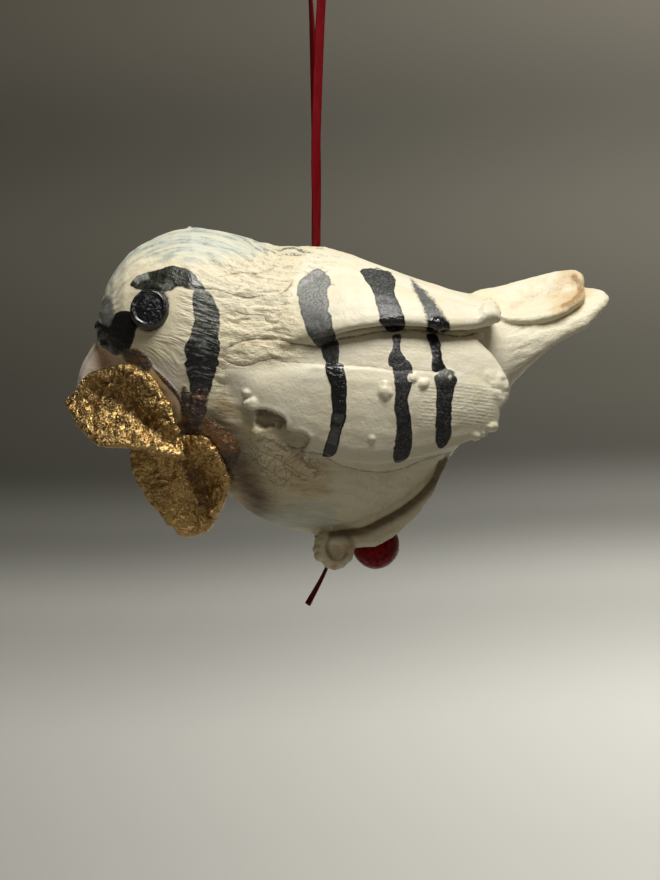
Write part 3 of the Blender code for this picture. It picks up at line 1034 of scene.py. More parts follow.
@dataclass(frozen=True)
class BlackGlaze:
    """Thick black glaze on the bead eyes."""

    black: Colour = (0.005, 0.006, 0.009)
    bloom: Colour = (0.011, 0.013, 0.017)

    def build(self) -> bpy.types.Material:
        """Makes the material.

        Returns:
            The material.
        """
        s = Shade("black_glaze")
        place = s.place_mm()
        ripple = s.noise(place, 1.8, 4.0, 0.6, 0.5)
        grain = s.noise(place, 5.0, 2.0, 0.5)
        colour = s.mix(grain.ramp(0.45, 0.8) * 0.6, self.black, self.bloom)
        return s.finish(
            Base_Color=colour,
            Roughness=(0.12 + (grain - 0.5) * 0.15).clamped(),
            Coat_Weight=1.0,
            Coat_Roughness=0.03,
            Normal=s.relief(ripple * 0.26 + grain * 0.05, MM),
        )


@dataclass(frozen=True)
class SatinCord:
    """Dark red satin cord, woven flat."""

    deep: Colour = (0.080, 0.001, 0.003)
    painted_sheen: Colour = (0.25, 0.003, 0.008)
    weave_to_mm: float = 2.2
    threads_across: float = 11.0
    thread_depth: float = 0.00004

    def build(self) -> bpy.types.Material:
        """Makes the material.

        Returns:
            The material.
        """
        s = Shade("satin_cord")
        along, across = s.attribute("along"), s.attribute("across")
        forward, sideways = along * self.weave_to_mm, across * (self.weave_to_mm / 2)
        first = ((forward + sideways) * 2 * math.pi).sine()
        second = ((forward - sideways) * 2 * math.pi).sine()
        weave = first.larger(second) * 0.5 + 0.5
        threads = (across * self.threads_across * math.pi).sine() * 0.5 + 0.5
        soft = s.noise(s.place_mm((1, 1, 0.25)), 1.4, 3.0)
        # Painted sheen: the weave's crossing threads are made lighter red.
        colour = s.mix((weave * 0.35 + threads * 0.25 + soft * 0.4).ramp(0.2, 0.9), self.deep, self.painted_sheen)
        return s.finish(
            Base_Color=colour,
            Roughness=(0.34 + (soft - 0.5) * 0.2).clamped(),
            Specular_IOR_Level=0.25,
            Normal=s.relief(weave * 0.7 + threads * 0.5, self.thread_depth),
        )


@dataclass(frozen=True)
class RedBead:
    """Dark red crinkled bead."""

    deep: Colour = (0.17, 0.001, 0.004)
    painted_sheen: Colour = (0.42, 0.003, 0.009)

    def build(self) -> bpy.types.Material:
        """Makes the material.

        Returns:
            The material.
        """
        s = Shade("red_bead")
        place = s.place_mm()
        facets = s.cells(place, 0.9)
        cracks = s.noise(s.place_mm((1.0, 1.0, 0.6)), 1.5, 4.0, 0.62, 0.4)
        # Painted sheen: the raised crinkles are made lighter red.
        colour = s.mix(cracks.ramp(0.35, 0.7), self.deep, self.painted_sheen)
        return s.finish(
            Base_Color=colour,
            Roughness=(0.24 + (cracks - 0.5) * 0.3).clamped(),
            Specular_IOR_Level=0.14,
            Normal=s.relief(facets * 0.30 + cracks * 1.1, MM),
        )


@dataclass(frozen=True)
class StudioGround:
    """Pale floor that darkens up the backdrop, with the studio light painted into its colour: a pale pool on
    the floor, a painted dark band where it bends up and dimmer colour higher up; as height in metres and
    colour, higher toward +X.
    """

    # How far the painted light and shade bands rise toward +X.
    side_lift: float = 0.012
    side_reach: tuple[float, float] = (-0.10, 0.14)
    stops: tuple = (
        (-0.420, (0.58, 0.575, 0.54)),
        (-0.300, (0.76, 0.75, 0.71)),
        (-0.215, (0.82, 0.82, 0.77)),
        (-0.160, (0.52, 0.52, 0.48)),
        (-0.125, (0.19, 0.19, 0.17)),
        (-0.098, (0.072, 0.070, 0.057)),
        (-0.070, (0.085, 0.080, 0.064)),
        (0.000, (0.125, 0.118, 0.094)),
        (0.045, (0.10, 0.094, 0.076)),
        (0.100, (0.15, 0.138, 0.110)),
    )

    def build(self) -> bpy.types.Material:
        """Makes the material.

        Returns:
            The material.
        """
        s = Shade("studio_floor")
        parts = s.node("ShaderNodeSeparateXYZ", {}, {0: s.node("ShaderNodeTexCoord").outputs["Object"]})
        low, high = self.stops[0][0], self.stops[-1][0]
        stops = [((z - low) / (high - low), colour) for z, colour in self.stops]
        lift = Value(s, parts.outputs[0]).ramp(*self.side_reach) * self.side_lift
        place = (Value(s, parts.outputs[2]) - lift - low) / (high - low)
        ramp = s.node("ShaderNodeValToRGB", {"stops": stops}, {"Fac": place})
        ramp.color_ramp.interpolation = "EASE"
        return s.finish(Base_Color=ramp.outputs[0], Roughness=0.95)


# Pieces


class Hand(Enum):
    """Which side of the bird."""

    LEFT = -1
    RIGHT = 1


@dataclass(frozen=True)
class Lamp:
    """A square soft light, in metres and watts."""

    name: str
    place: tuple[float, float, float]
    aim: tuple[float, float, float]
    size: float
    watts: float
    colour: Colour

    def hang(self) -> None:
        """Puts the light in the scene."""
        data = bpy.data.lights.new(self.name, "AREA")
        data.size = self.size
        data.energy = self.watts
        data.color = self.colour
        light = bpy.data.objects.new(self.name, data)
        light.location = self.place
        light.rotation_euler = (Vector(self.aim) - Vector(self.place)).to_track_quat("-Z", "Y").to_euler()
        bpy.context.scene.collection.objects.link(light)


LAMPS = (
    Lamp("key", (0.06, -0.17, 0.31), (0.0, 0.0, -0.08), 0.22, 2.3, (1.0, 0.975, 0.93)),
    Lamp("front", (0.30, -0.80, 0.05), (0.0, 0.0, -0.08), 0.4, 0.19, (1.0, 0.90, 0.74)),
    Lamp("side", (-0.24, -0.42, -0.36), (-0.02, 0.0, -0.08), 0.32, 0.17, (1.0, 0.93, 0.80)),
    Lamp("backdrop_wash", (0.27, 0.32, 0.05), (0.27, 0.62, -0.06), 0.35, 1.6, (1.0, 0.98, 0.95)),
)


@dataclass(frozen=True)
class Studio:
    """Camera, floor, backdrop and lights."""

    floor_drop: float = -0.420
    floor_front: float = -0.9
    backdrop: float = 0.62
    bend: float = 0.2
    backdrop_rise: float = 0.9
    half_width: float = 1.2
    floor_steps: int = 25
    floor_share: float = 0.4
    bend_share: float = 0.3
    room_colour: Colour = (0.95, 0.82, 0.60)
    room_strength: float = 0.035

    def build(self) -> None:
        """Makes the camera and everything around the ornament."""
        self._camera()
        self._ground()
        for lamp in LAMPS:
            lamp.hang()
        self._surroundings()

    def _camera(self) -> None:
        """Puts the camera square on to the bird's left side."""
        distance = VIEW_DISTANCE_MM * MM
        data = bpy.data.cameras.new("camera")
        data.sensor_fit = "VERTICAL"
        data.sensor_height = 24.0
        data.lens = data.sensor_height * distance / (IMAGE_SIZE[1] / DRAWING_UNIT * MM)
        data.clip_start = 0.01
        camera = bpy.data.objects.new("camera", data)
        camera.location = (VIEW_CENTRE_MM[0] * MM, -distance, VIEW_CENTRE_MM[1] * MM)
        camera.rotation_euler = (math.pi / 2, 0.0, 0.0)
        bpy.context.scene.collection.objects.link(camera)
        bpy.context.scene.camera = camera

    def _ground(self) -> None:
        """Makes the floor that rises softly into a backdrop."""
        straight = self.backdrop - self.bend
        foot = self.floor_drop + self.bend
        bend_end = self.floor_share + self.bend_share
        course = []
        for share in np.linspace(0.0, 1.0, self.floor_steps):
            if share < self.floor_share:
                y = self.floor_front + share / self.floor_share * (straight - self.floor_front)
                z = self.floor_drop
            elif share < bend_end:
                angle = (share - self.floor_share) / self.bend_share * math.pi / 2
                y = straight + self.bend * math.sin(angle)
                z = foot - self.bend * math.cos(angle)
            else:
                y = self.backdrop
                z = foot + (share - bend_end) / (1.0 - bend_end) * self.backdrop_rise
            course.append((y, z))
        across = np.linspace(-self.half_width, self.half_width, 4)
        rows = np.array([[(x, y, z) for x in across] for y, z in course])
        grid_object("studio_floor", rows, StudioGround().build(), around=False)

    def _surroundings(self) -> None:
        """Sets the light of the room."""
        world = bpy.data.worlds.new("room")
        world.use_nodes = True
        back = world.node_tree.nodes["Background"]
        back.inputs["Color"].default_value = (*self.room_colour, 1.0)
        back.inputs["Strength"].default_value = self.room_strength
        bpy.context.scene.world = world
        bpy.context.scene.view_settings.view_transform = "Standard"


@dataclass
class HangingCord:
    """The flat red cord, from its cut end under the belly to the bead, by way of the hanging loop."""

    width: float = 0.0017
    thickness: float = 0.00046
    steps: int = 420
    curve_steps: int = 40
    around: int = 12
    roundness: float = 0.6
    path_step: int = 4
    route: tuple = (
        (-0.00142, 0.00065, -0.11281),
        (0.00170, 0.00065, -0.10677),
        (0.00180, 0.00065, -0.10397),
        (0.00000, 0.00065, -0.10097),
        (0.00000, 0.00065, -0.07708),
        (0.00000, 0.00065, -0.05320),
        (0.00000, 0.00065, -0.03550),
        (-0.00090, 0.00000, -0.01210),
        (-0.00210, 0.00000, -0.00300),
        (0.00000, 0.00000, -0.00030),
        (0.00210, 0.00000, -0.00300),
        (0.00090, 0.00000, -0.01210),
        (0.00000, -0.00065, -0.03550),
        (0.00000, -0.00065, -0.05320),
        (0.00000, -0.00065, -0.07708),
        (0.00000, -0.00065, -0.10097),
        (0.00240, -0.00065, -0.10297),
        (0.00500, 0.00000, -0.10290),
        (0.01300, 0.00000, -0.10290),
    )
    # The turn of the flat side at each point, in degrees from facing along X
    turns: tuple = (32, 8, 2, 0, 8, 60, 60, 16, 2, 0, -8, -58, -64, -20, 0, 0, 0, 0, 0)

    def build(self, finish: bpy.types.Material, bead: bpy.types.Object) -> bpy.types.Object:
        """Args:
            finish: its material.
            bead: the bead that stops it. Not used.

        Returns:
            The cord.
        """
        line, turns, run = self._course()
        angles = [2 * math.pi * step / self.around for step in range(self.around)]
        ring = [(self._rounder(math.cos(angle)), self._rounder(math.sin(angle))) for angle in angles]
        piece = grid_object("flat_cord", self._rows(line, turns, ring), finish)
        along = np.repeat(run / MM, self.around)
        across = np.tile([a for a, _ in ring], self.steps)
        for name, numbers in (("along", along), ("across", across)):
            kept = piece.data.attributes.new(name, "FLOAT", "POINT")
            kept.data.foreach_set("value", numbers.astype(np.float32))
        stand_in(piece, "cord")
        LOG.info("flat_cord: %.0f mm long", run[-1] / MM)
        return piece

    def _course(self) -> tuple[Points, Points, Points]:
        """Runs a smooth curve along the route.

        Returns:
            Even points on it, the turn of the flat side at each and how far along each lies.
        """
        line = rounded(self.route, self.curve_steps, closed=False)
        turns = rounded([(float(turn), 0.0) for turn in self.turns], self.curve_steps, closed=False)
        run = np.concatenate([[0], np.cumsum(np.linalg.norm(np.diff(line, axis=0), axis=1))])
        even = np.linspace(0, run[-1], self.steps)
        line = np.stack([np.interp(even, run, line[:, axis]) for axis in range(3)], 1)
        return line, np.interp(even, run, turns[:, 0]), even

    def _rows(self, line: Points, turns: Points, ring: Line) -> Points:
        """Lays the flat section along the curve.

        Args:
            line: even points on the curve.
            turns: the turn of the flat side at each, in degrees.
            ring: the section, from -1 to 1 across and through.

        Returns:
            Points as (row, column, xyz).
        """
        along = np.gradient(line, axis=0)
        along /= np.linalg.norm(along, axis=1, keepdims=True)
        rows = []
        for point, forward, turn in zip(line, along, np.radians(turns)):
            side = np.array([-math.sin(turn), math.cos(turn), 0.0])
            side -= forward * (side @ forward)
            side /= np.linalg.norm(side)
            up = np.cross(forward, side)
            rows.append([point + side * a * self.width / 2 + up * b * self.thickness / 2 for a, b in ring])
        return np.array(rows)

    def _rounder(self, value: float) -> float:
        """Squares off a round section a little."""
        return math.copysign(abs(value) ** self.roundness, value)


# The size of the unevenness on the beads, in metres
BEAD_GRAIN = 0.0016


@dataclass
class StopperBead:
    """The dark red bead under the belly."""

    hole: float = 0.00085
    bore: float = 0.000765
    fill: float = 0.985
    unevenness: float = 0.018
    rings: int = 40
    around: int = 56
    bore_places: tuple = (-0.93, -0.5, 0.0, 0.5, 0.93)

    def build(self, finish: bpy.types.Material) -> bpy.types.Object:
        """Makes the bead.

        Args:
            finish: its material.

        Returns:
            The bead.
        """
        low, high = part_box("stopper_bead")
        centre = (low + high) / 2
        radius = (high.z - low.z) / 2 * self.fill
        turns = [2 * math.pi * step / self.around for step in range(self.around)]
        rows = []
        start = math.asin(self.hole / radius)
        for ring in range(self.rings):
            angle = start + (math.pi - 2 * start) * ring / (self.rings - 1)
            rows.append([self._point(angle, turn, radius) for turn in turns])
        for side in self.bore_places:
            ring = [(side * radius, self.bore * math.cos(turn), self.bore * math.sin(turn)) for turn in turns]
            rows.append(ring)
        rows = np.array(rows)
        flat = rows.reshape(-1, 3)
        flat *= (0.99 + self.unevenness * Grain(41).layered(flat / BEAD_GRAIN, 2))[:, None]
        rows = np.concatenate([rows, rows[:1]])
        piece = grid_object("red_stopper_bead", rows + np.array(centre), finish, caps=False)
        stand_in(piece, "stopper_bead")
        return piece

    @staticmethod
    def _point(angle: float, turn: float, radius: float) -> tuple[float, float, float]:
        """Finds a point of the bead.

        Args:
            angle: the angle from the bead's axis.
            turn: the turn about the axis.
            radius: the bead's radius.

        Returns:
            The point from the bead's centre.
        """
        return (
            radius * math.cos(angle),
            radius * math.sin(angle) * math.cos(turn),
            radius * math.sin(angle) * math.sin(turn),
        )


@dataclass
class BeadEye:
    """A glossy eye with a raised rim around a shallow dish."""

    hand: Hand
    lean: tuple[float, float, float] = (-0.20, 0.97, 0.12)
    profile: tuple = (
        (0.00, 0.70),
        (0.30, 0.69),
        (0.52, 0.66),
        (0.66, 0.64),
        (0.76, 0.69),
        (0.86, 0.67),
        (0.96, 0.50),
        (1.03, 0.20),
        (1.02, -0.10),
        (0.90, -0.40),
        (0.55, -0.80),
        (0.00, -0.95),
    )
    around: int = 64
    swell: float = 1.05
    unevenness: float = 0.014

    def build(self, finish: bpy.types.Material) -> bpy.types.Object:
        """Makes the eye.

        Args:
            finish: its material.

        Returns:
            The eye.
        """
        name = "eye_left" if self.hand is Hand.LEFT else "eye_right"
        low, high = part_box(name)
        centre = (low + high) / 2
        radius = (high.z - low.z) / 2
        facing = Vector((self.lean[0], self.hand.value * self.lean[1], self.lean[2])).normalized()
        turn = facing.to_track_quat("Z", "Y").to_matrix()
        smooth = rounded(self.profile, 5, closed=False)
        rows = []
        for reach, height in smooth[1:-1]:
            ring = []
            for step in range(self.around):
                angle = 2 * math.pi * step / self.around
                local = Vector((reach * math.cos(angle), reach * math.sin(angle), height)) * radius
                ring.append(turn @ local)
            rows.append(ring)
        rows = np.array(rows)
        flat = rows.reshape(-1, 3)
        flat *= self.swell * (1 + self.unevenness * Grain(7).layered(flat / BEAD_GRAIN, 3))[:, None]
        piece = grid_object("glossy_" + name, rows + np.array(centre), finish)
        stand_in(piece, name)
        return piece


@dataclass(frozen=True)
class LeafPlan:
    """What is drawn on one leaf, on the side drawing."""

    node: str
    seed: int
    outline: Line
    crease: Line
    crease_width: float
    crease_mm: float
    # Where the gold is painted darker, as shade.
    shaded_part: Line


LEAF_PLANS = (
    LeafPlan(
        node="gilded_leaf_upper",
        seed=51,
        outline=((98, 368), (108, 360), (117, 365), (134, 362), (147, 369), (158, 380), (169, 392), (178, 408))
        + ((182, 423), (184, 452), (172, 457), (149, 452), (122, 447), (96, 447), (89, 441), (81, 427))
        + ((72, 417), (70, 401), (80, 383), (87, 370)),
        crease=((84, 384), (92, 388), (106, 395), (127, 407), (139, 417), (158, 430), (172, 437)),
        crease_width=7.0,
        crease_mm=0.75,
        shaded_part=((96, 380), (110, 370), (136, 370), (152, 385), (166, 402), (174, 424), (158, 424), (139, 410))
        + ((124, 400), (106, 389)),
    ),
    LeafPlan(
        node="gilded_leaf_lower",
        seed=71,
        outline=((123, 453), (129, 471), (141, 491), (158, 511), (176, 531), (184, 535), (195, 534), (207, 522))
        + ((221, 505), (227, 488), (225, 473), (218, 452), (207, 436), (187, 427)),
        crease=((176, 446), (182, 462), (192, 478), (202, 496), (200, 516)),
        crease_width=8.0,
        crease_mm=0.65,
        shaded_part=((176, 452), (188, 448), (206, 474), (208, 500), (196, 512), (190, 486)),
    ),
)


@dataclass
class GildedLeaf:
    """One of the crinkled leaves at the beak."""

    plan: LeafPlan
    cell_mm: float = 0.16
    crumple_mm: float = 0.58
    crinkle_mm: float = 0.26
    rim_mm: float = 0.28
    hollow_mm: float = 0.03

    def build(self, finish: bpy.types.Material) -> bpy.types.Object:
        """Makes the leaf.

        Args:
            finish: its material.

        Returns:
            The leaf.
        """
        node, seed = self.plan.node, self.plan.seed
        skin = Skin.of_node(node, self.cell_mm)
        edges = skin.edges()
        skin.soften(edges, 14)
        points = skin.points
        drawing = side_drawing(points)
        front = ease(-skin.normals()[:, 1], -0.1, 0.4)
        warp = np.stack([Grain(seed + k).layered(points / 2.6, 2) for k in (1, 2, 3)], 1)
        crumple = Grain(seed).folds((points + warp) / 4.2, 2, 0.5) - 0.5
        crinkle = Grain(seed + 5).folds((points + 0.6 * warp) / (1.9, 1.6, 1.5), 2, 0.6) - 0.5
        torn = Grain(seed + 6).layered(points / 1.2, 2)
        edge = patch_distance(drawing, self.plan.outline)
        rim = np.exp(-(((edge - 3.0) / 3.2) ** 2)) * (0.7 + 0.5 * torn)
        fold = line_distance(drawing, rounded(self.plan.crease, 4, False)) + 1.5 * torn
        valley = np.exp(-((fold / self.plan.crease_width) ** 2))
        push = self.crumple_mm * crumple + self.crinkle_mm * crinkle + 0.05 * torn
        push += front * (self.rim_mm * rim - self.plan.crease_mm * valley)
        skin.points = points + skin.normals() * push[:, None]
        # Painted shade for the finish: the part of the leaf that lies in shade, and the crease.
        shaded_part = ease(patch_distance(drawing, self.plan.shaded_part), -5, 6) * front
        hollow = np.clip(skin.hollowness(edges, 4) / self.hollow_mm, -1, 2)
        facts = {"hollow": hollow, "shade": shaded_part + 0.8 * valley * front}
        piece = dressed_mesh(f"crinkled_{node}", skin, finish, facts)
        stand_in(piece, node)
        return piece


class PaintTone(Enum):
    """How a painted patch was laid on."""

    SPRAYED_GREY = 0.10
    WORN_GREY = 0.42
    SATIN_GREY = 0.60
    SATIN_DARK = 0.76
    MATT_BLACK = 0.90
    GLOSSY_BLACK = 1.0


@dataclass(frozen=True)
class PaintedPatch:
    """One patch of black or grey paint on the side drawing, laid over the ones before it."""

    outline: Line
    tone: PaintTone
    soft: float = 1.2
    glitter: float = 0.0
    fade: float = 3.0


STRIPES = (
    PaintedPatch(
        ((301, 279), (308, 273), (315, 270), (322, 270), (328, 276), (331, 284), (327, 291), (329, 306))
        + ((328, 319), (330, 326), (309, 326), (304, 318), (299, 302), (297, 287)),
        PaintTone.SPRAYED_GREY,
        soft=2.4,
    ),
    PaintedPatch(
        ((302, 308), (329, 312), (333, 330), (337, 339), (338, 346), (321, 347), (310, 338), (305, 325)),
        PaintTone.WORN_GREY,
        soft=2.0,
        fade=14.0,
    ),
    PaintedPatch(((322, 346), (338, 342), (338, 362), (325, 362)), PaintTone.SATIN_DARK),
    PaintedPatch(
        ((325, 364), (342, 364), (346, 378), (347, 393), (346, 415), (341, 433), (335, 454), (322, 456))
        + ((326, 443), (331, 424), (332, 406), (330, 384)),
        PaintTone.GLOSSY_BLACK,
        soft=1.0,
        glitter=1.0,
    ),
    PaintedPatch(
        ((360, 271), (368, 268), (378, 269), (391, 274), (396, 282), (394, 291), (398, 302), (405, 317))
        + ((405, 326), (396, 332), (387, 331), (382, 322), (378, 308), (372, 289), (364, 278)),
        PaintTone.SATIN_GREY,
    ),
    PaintedPatch(
        ((380, 318), (403, 314), (404, 327), (396, 332), (387, 331)),
        PaintTone.GLOSSY_BLACK,
        soft=1.5,
    ),
    PaintedPatch(
        ((392, 337), (401, 335), (401, 350), (405, 358), (411, 366), (392, 367), (388, 358), (393, 348)),
        PaintTone.SATIN_DARK,
    ),
    PaintedPatch(
        ((393, 362), (406, 361), (412, 367), (413, 383), (408, 396), (409, 408), (412, 426), (412, 443))
        + ((407, 459), (395, 464), (393, 452), (397, 430), (394, 408), (395, 387)),
        PaintTone.SATIN_DARK,
        soft=1.6,
        glitter=0.5,
    ),
    PaintedPatch(
        ((411, 279), (420, 287), (430, 296), (437, 304), (445, 317), (449, 324), (448, 331), (430, 331))
        + ((427, 324), (426, 315), (422, 304), (415, 291)),
        PaintTone.WORN_GREY,
        soft=6.5,
    ),
    PaintedPatch(
        ((428, 319), (438, 317), (448, 322), (449, 330), (438, 332), (428, 329)),
        PaintTone.GLOSSY_BLACK,
    ),
    PaintedPatch(
        ((427, 334), (437, 334), (441, 345), (442, 360), (446, 369), (433, 371), (432, 356), (429, 343)),
        PaintTone.GLOSSY_BLACK,
    ),
    PaintedPatch(
        ((436, 374), (456, 376), (454, 393), (451, 415), (452, 435), (443, 448), (436, 444), (436, 415))
        + ((437, 393),),
        PaintTone.SATIN_DARK,
        soft=1.6,
        glitter=0.3,
    ),
    PaintedPatch(
        ((440, 371), (446, 369), (453, 373), (453, 380), (446, 384), (440, 380)),
        PaintTone.WORN_GREY,
        soft=3.0,
    ),
)

FACE_MARKS = (
    PaintedPatch(
        ((131, 286), (135, 279), (143, 276), (150, 272), (160, 270), (168, 267), (181, 267), (190, 271))
        + ((199, 281), (205, 291), (194, 291), (185, 288), (178, 287), (170, 291), (160, 291), (148, 290))
        + ((138, 290),),
        PaintTone.MATT_BLACK,
        soft=2.4,
    ),
    PaintedPatch(
        ((134, 279), (146, 273), (149, 279), (141, 281), (138, 286)),
        PaintTone.SPRAYED_GREY,
        soft=1.2,
        fade=1.2,
    ),
    PaintedPatch(
        ((161, 286), (166, 284), (168, 279), (175, 283), (172, 289), (165, 292)),
        PaintTone.WORN_GREY,
        soft=1.2,
        fade=1.2,
    ),
    PaintedPatch(
        ((194, 290), (204, 290), (212, 296), (218, 309), (220, 324), (218, 337), (216, 347), (189, 347))
        + ((190, 336), (194, 322), (193, 306)),
        PaintTone.WORN_GREY,
        soft=2.4,
    ),
    PaintedPatch(
        ((189, 340), (218, 338), (216, 360), (188, 361)),
        PaintTone.SATIN_DARK,
        soft=1.6,
        fade=9.0,
    ),
    PaintedPatch(((188, 359), (216, 357), (216, 367), (188, 368)), PaintTone.GLOSSY_BLACK, soft=1.0),
    PaintedPatch(
        ((188, 367), (215, 366), (213, 380), (210, 391), (203, 404), (194, 416), (189, 404), (190, 385)),
        PaintTone.SATIN_DARK,
        soft=1.6,
    ),
    PaintedPatch(
        ((104, 298), (109, 296), (113, 306), (115, 318), (112, 330), (104, 326), (100, 318), (100, 308)),
        PaintTone.SPRAYED_GREY,
        soft=8.0,
        fade=5.0,
    ),
    PaintedPatch(
        ((97, 320), (103, 324), (109, 327), (113, 322), (117, 313), (125, 310), (133, 313), (137, 322))
        + ((136, 334), (132, 345), (128, 352), (118, 355), (109, 352), (104, 345), (98, 340), (95, 331)),
        PaintTone.GLOSSY_BLACK,
        soft=1.6,
    ),
)

# Places where bumps of bare clay come through the paint: u, v and radius
CHIPS = ((411, 378, 4.5), (449, 378, 2.6))
SLAB_AREA = ((300, 262), (340, 250), (400, 272), (484, 300), (497, 312), (500, 330), (514, 366), (514, 410))
SLAB_AREA += ((500, 442), (454, 452), (404, 468), (346, 468), (321, 456), (303, 455), (306, 440), (285, 428))
SLAB_AREA += ((262, 412), (232, 398), (230, 368), (288, 362), (316, 352), (302, 330), (296, 300))
TORN_AREA = ((190, 262), (225, 252), (262, 244), (300, 242), (324, 250), (322, 264), (304, 274), (297, 300))
TORN_AREA += ((303, 335), (316, 352), (296, 362), (262, 366), (236, 374), (224, 392), (212, 376), (219, 345))
TORN_AREA += ((221, 320), (213, 296), (203, 284))
BREAST_AREA = ((186, 430), (222, 392), (250, 420), (284, 430), (306, 452), (330, 462), (330, 500))
BREAST_AREA += ((270, 522), (215, 505), (190, 470))
SLAB_FRONTS = ((214, 340), (262, 330), (300, 338), (312, 352), (300, 378), (262, 400), (236, 404))
SLAB_FRONTS += ((216, 384),)
LIP_BLEND = ((296, 336), (338, 329), (380, 321), (410, 320), (436, 326), (432, 344), (404, 347), (380, 349))
LIP_BLEND += ((338, 358), (310, 362))
HAIR_AREA = ((254, 436), (288, 446), (316, 458), (318, 474), (290, 484), (262, 478), (244, 456))
POCKET = ((255, 411), (266, 411), (275, 414), (284, 421), (285, 431), (270, 428), (258, 428))
STRAP_CREVICE = ((336, 530), (350, 529), (364, 527), (384, 517), (403, 506), (420, 492), (432, 478))
STRAP_CREVICE += ((441, 462),)
FOOT_CURL = ((331, 534), (328, 543), (329, 552), (334, 559), (342, 559), (347, 552))
TORN_EDGE = ((252, 409), (266, 411), (275, 414), (284, 421), (286, 431), (294, 434), (302, 434), (307, 440))
TORN_EDGE += ((304, 452),)
COVERT_LIP = ((320, 347), (338, 339), (360, 335), (380, 331), (404, 329), (426, 330), (446, 334), (462, 336))
COVERT_LIP += ((474, 334),)
NECK_SHADE = ((240, 330), (250, 345), (262, 352), (290, 352))
THROAT_SHADE = ((216, 420), (234, 446), (241, 474), (258, 502))
GLAZE_POOL = ((575, 277), (580, 284), (580, 292), (574, 300), (563, 306))
TAIL_DOTS = ((512, 305), (526, 298), (542, 293), (560, 287))
WING_STAIN = ((452, 430), (468, 421), (486, 415))
LIP_SHADOW_LINE = ((384, 333), (404, 331), (428, 333), (446, 337))
WING_HEAP = ((486, 372), (505, 376), (511, 396), (508, 412), (496, 400))
SLIP_DRIP = ((251, 404), (252, 414), (255, 422), (258, 431))
# Broad hollows and ridges of the left side: line, width and height in mm
BROAD_FORMS = (
    (((216, 372), (228, 398), (242, 436), (252, 470)), 11.0, -0.45),
    (((500, 308), (526, 309), (552, 302), (574, 290)), 8.0, -0.34),
    (((508, 321), (535, 323), (562, 315), (583, 299)), 4.5, 0.22),
)
# Beads of slip and small bumps: u, v and radius
SLIP_BEADS = ((250, 404, 8), (258, 431, 8), (489, 311, 12), (412, 378, 5.5), (447, 376, 8), (385, 391, 8))
SLIP_BEADS += ((372, 439, 4), (438, 325, 7), (130, 249, 3), (189, 227, 3), (96, 326, 5), (104, 345, 5))
SLIP_BEADS += ((478, 336, 5), (424, 384, 6), (246, 393, 5), (493, 427, 6), (477, 437, 6), (484, 434, 4))
SLIP_BEADS += ((385, 384, 4), (318, 533, 6), (316, 540, 6), (315, 548, 5), (319, 557, 5))
# Glue at the beak and throat
GLUE_CHEEK = ((120, 351), (133, 348), (146, 354), (152, 363), (148, 372), (138, 366), (126, 362))
GLUE_RIM = ((152, 366), (164, 376), (176, 388), (183, 400), (187, 414), (184, 414), (179, 401), (172, 391))
GLUE_RIM += ((161, 379),)
GLUE_THROAT = ((182, 386), (193, 392), (205, 388), (208, 402), (205, 420), (214, 434), (206, 446))
GLUE_THROAT += ((194, 456), (184, 446), (181, 420))
GLUE_AMBER = ((192, 424), (206, 418), (222, 426), (234, 438), (239, 452), (234, 470), (222, 474), (214, 448))
GLUE_AMBER += ((200, 438),)
GLUE_DROP = ((178, 424), (184, 424), (187, 440), (185, 460), (182, 460))
# Cracks, scratches and painted shadow lines: line and strength
CRACKS_AND_SHADOW_LINES = (
    # The line along the covert's lip is a crack that also stands for the lip's painted shadow.
    (COVERT_LIP, 1.0),
    (((230, 347), (241, 342), (258, 339), (274, 339), (284, 341), (295, 345), (311, 346), (322, 347)), 0.8),
    (((315, 279), (322, 281), (331, 284)), 0.5),
    (((308, 273), (318, 276), (326, 272)), 0.4),
    (((236, 312), (247, 315), (263, 315), (267, 321), (276, 323)), 0.7),
    (((284, 292), (288, 289), (291, 284)), 0.7),
    (((201, 289), (216, 290), (232, 295), (246, 298), (262, 296)), 0.6),
    (((222, 276), (240, 272), (258, 273), (272, 268)), 0.45),
    (((255, 411), (266, 411), (275, 414), (283, 420), (285, 430), (293, 433), (302, 434), (308, 439)), 1.0),
    (((308, 439), (306, 446), (298, 450), (289, 447)), 0.9),
    (((222, 358), (232, 364), (246, 366), (262, 361), (280, 358)), 0.6),
    (((280, 362), (325, 364), (373, 367), (396, 371), (413, 370), (436, 372)), 0.25),
    # Not a crack: a painted shadow line under the lowest slab's bottom edge.
    (((303, 452), (322, 455), (342, 466), (377, 472), (403, 469), (429, 458), (464, 448)), 0.5),
)


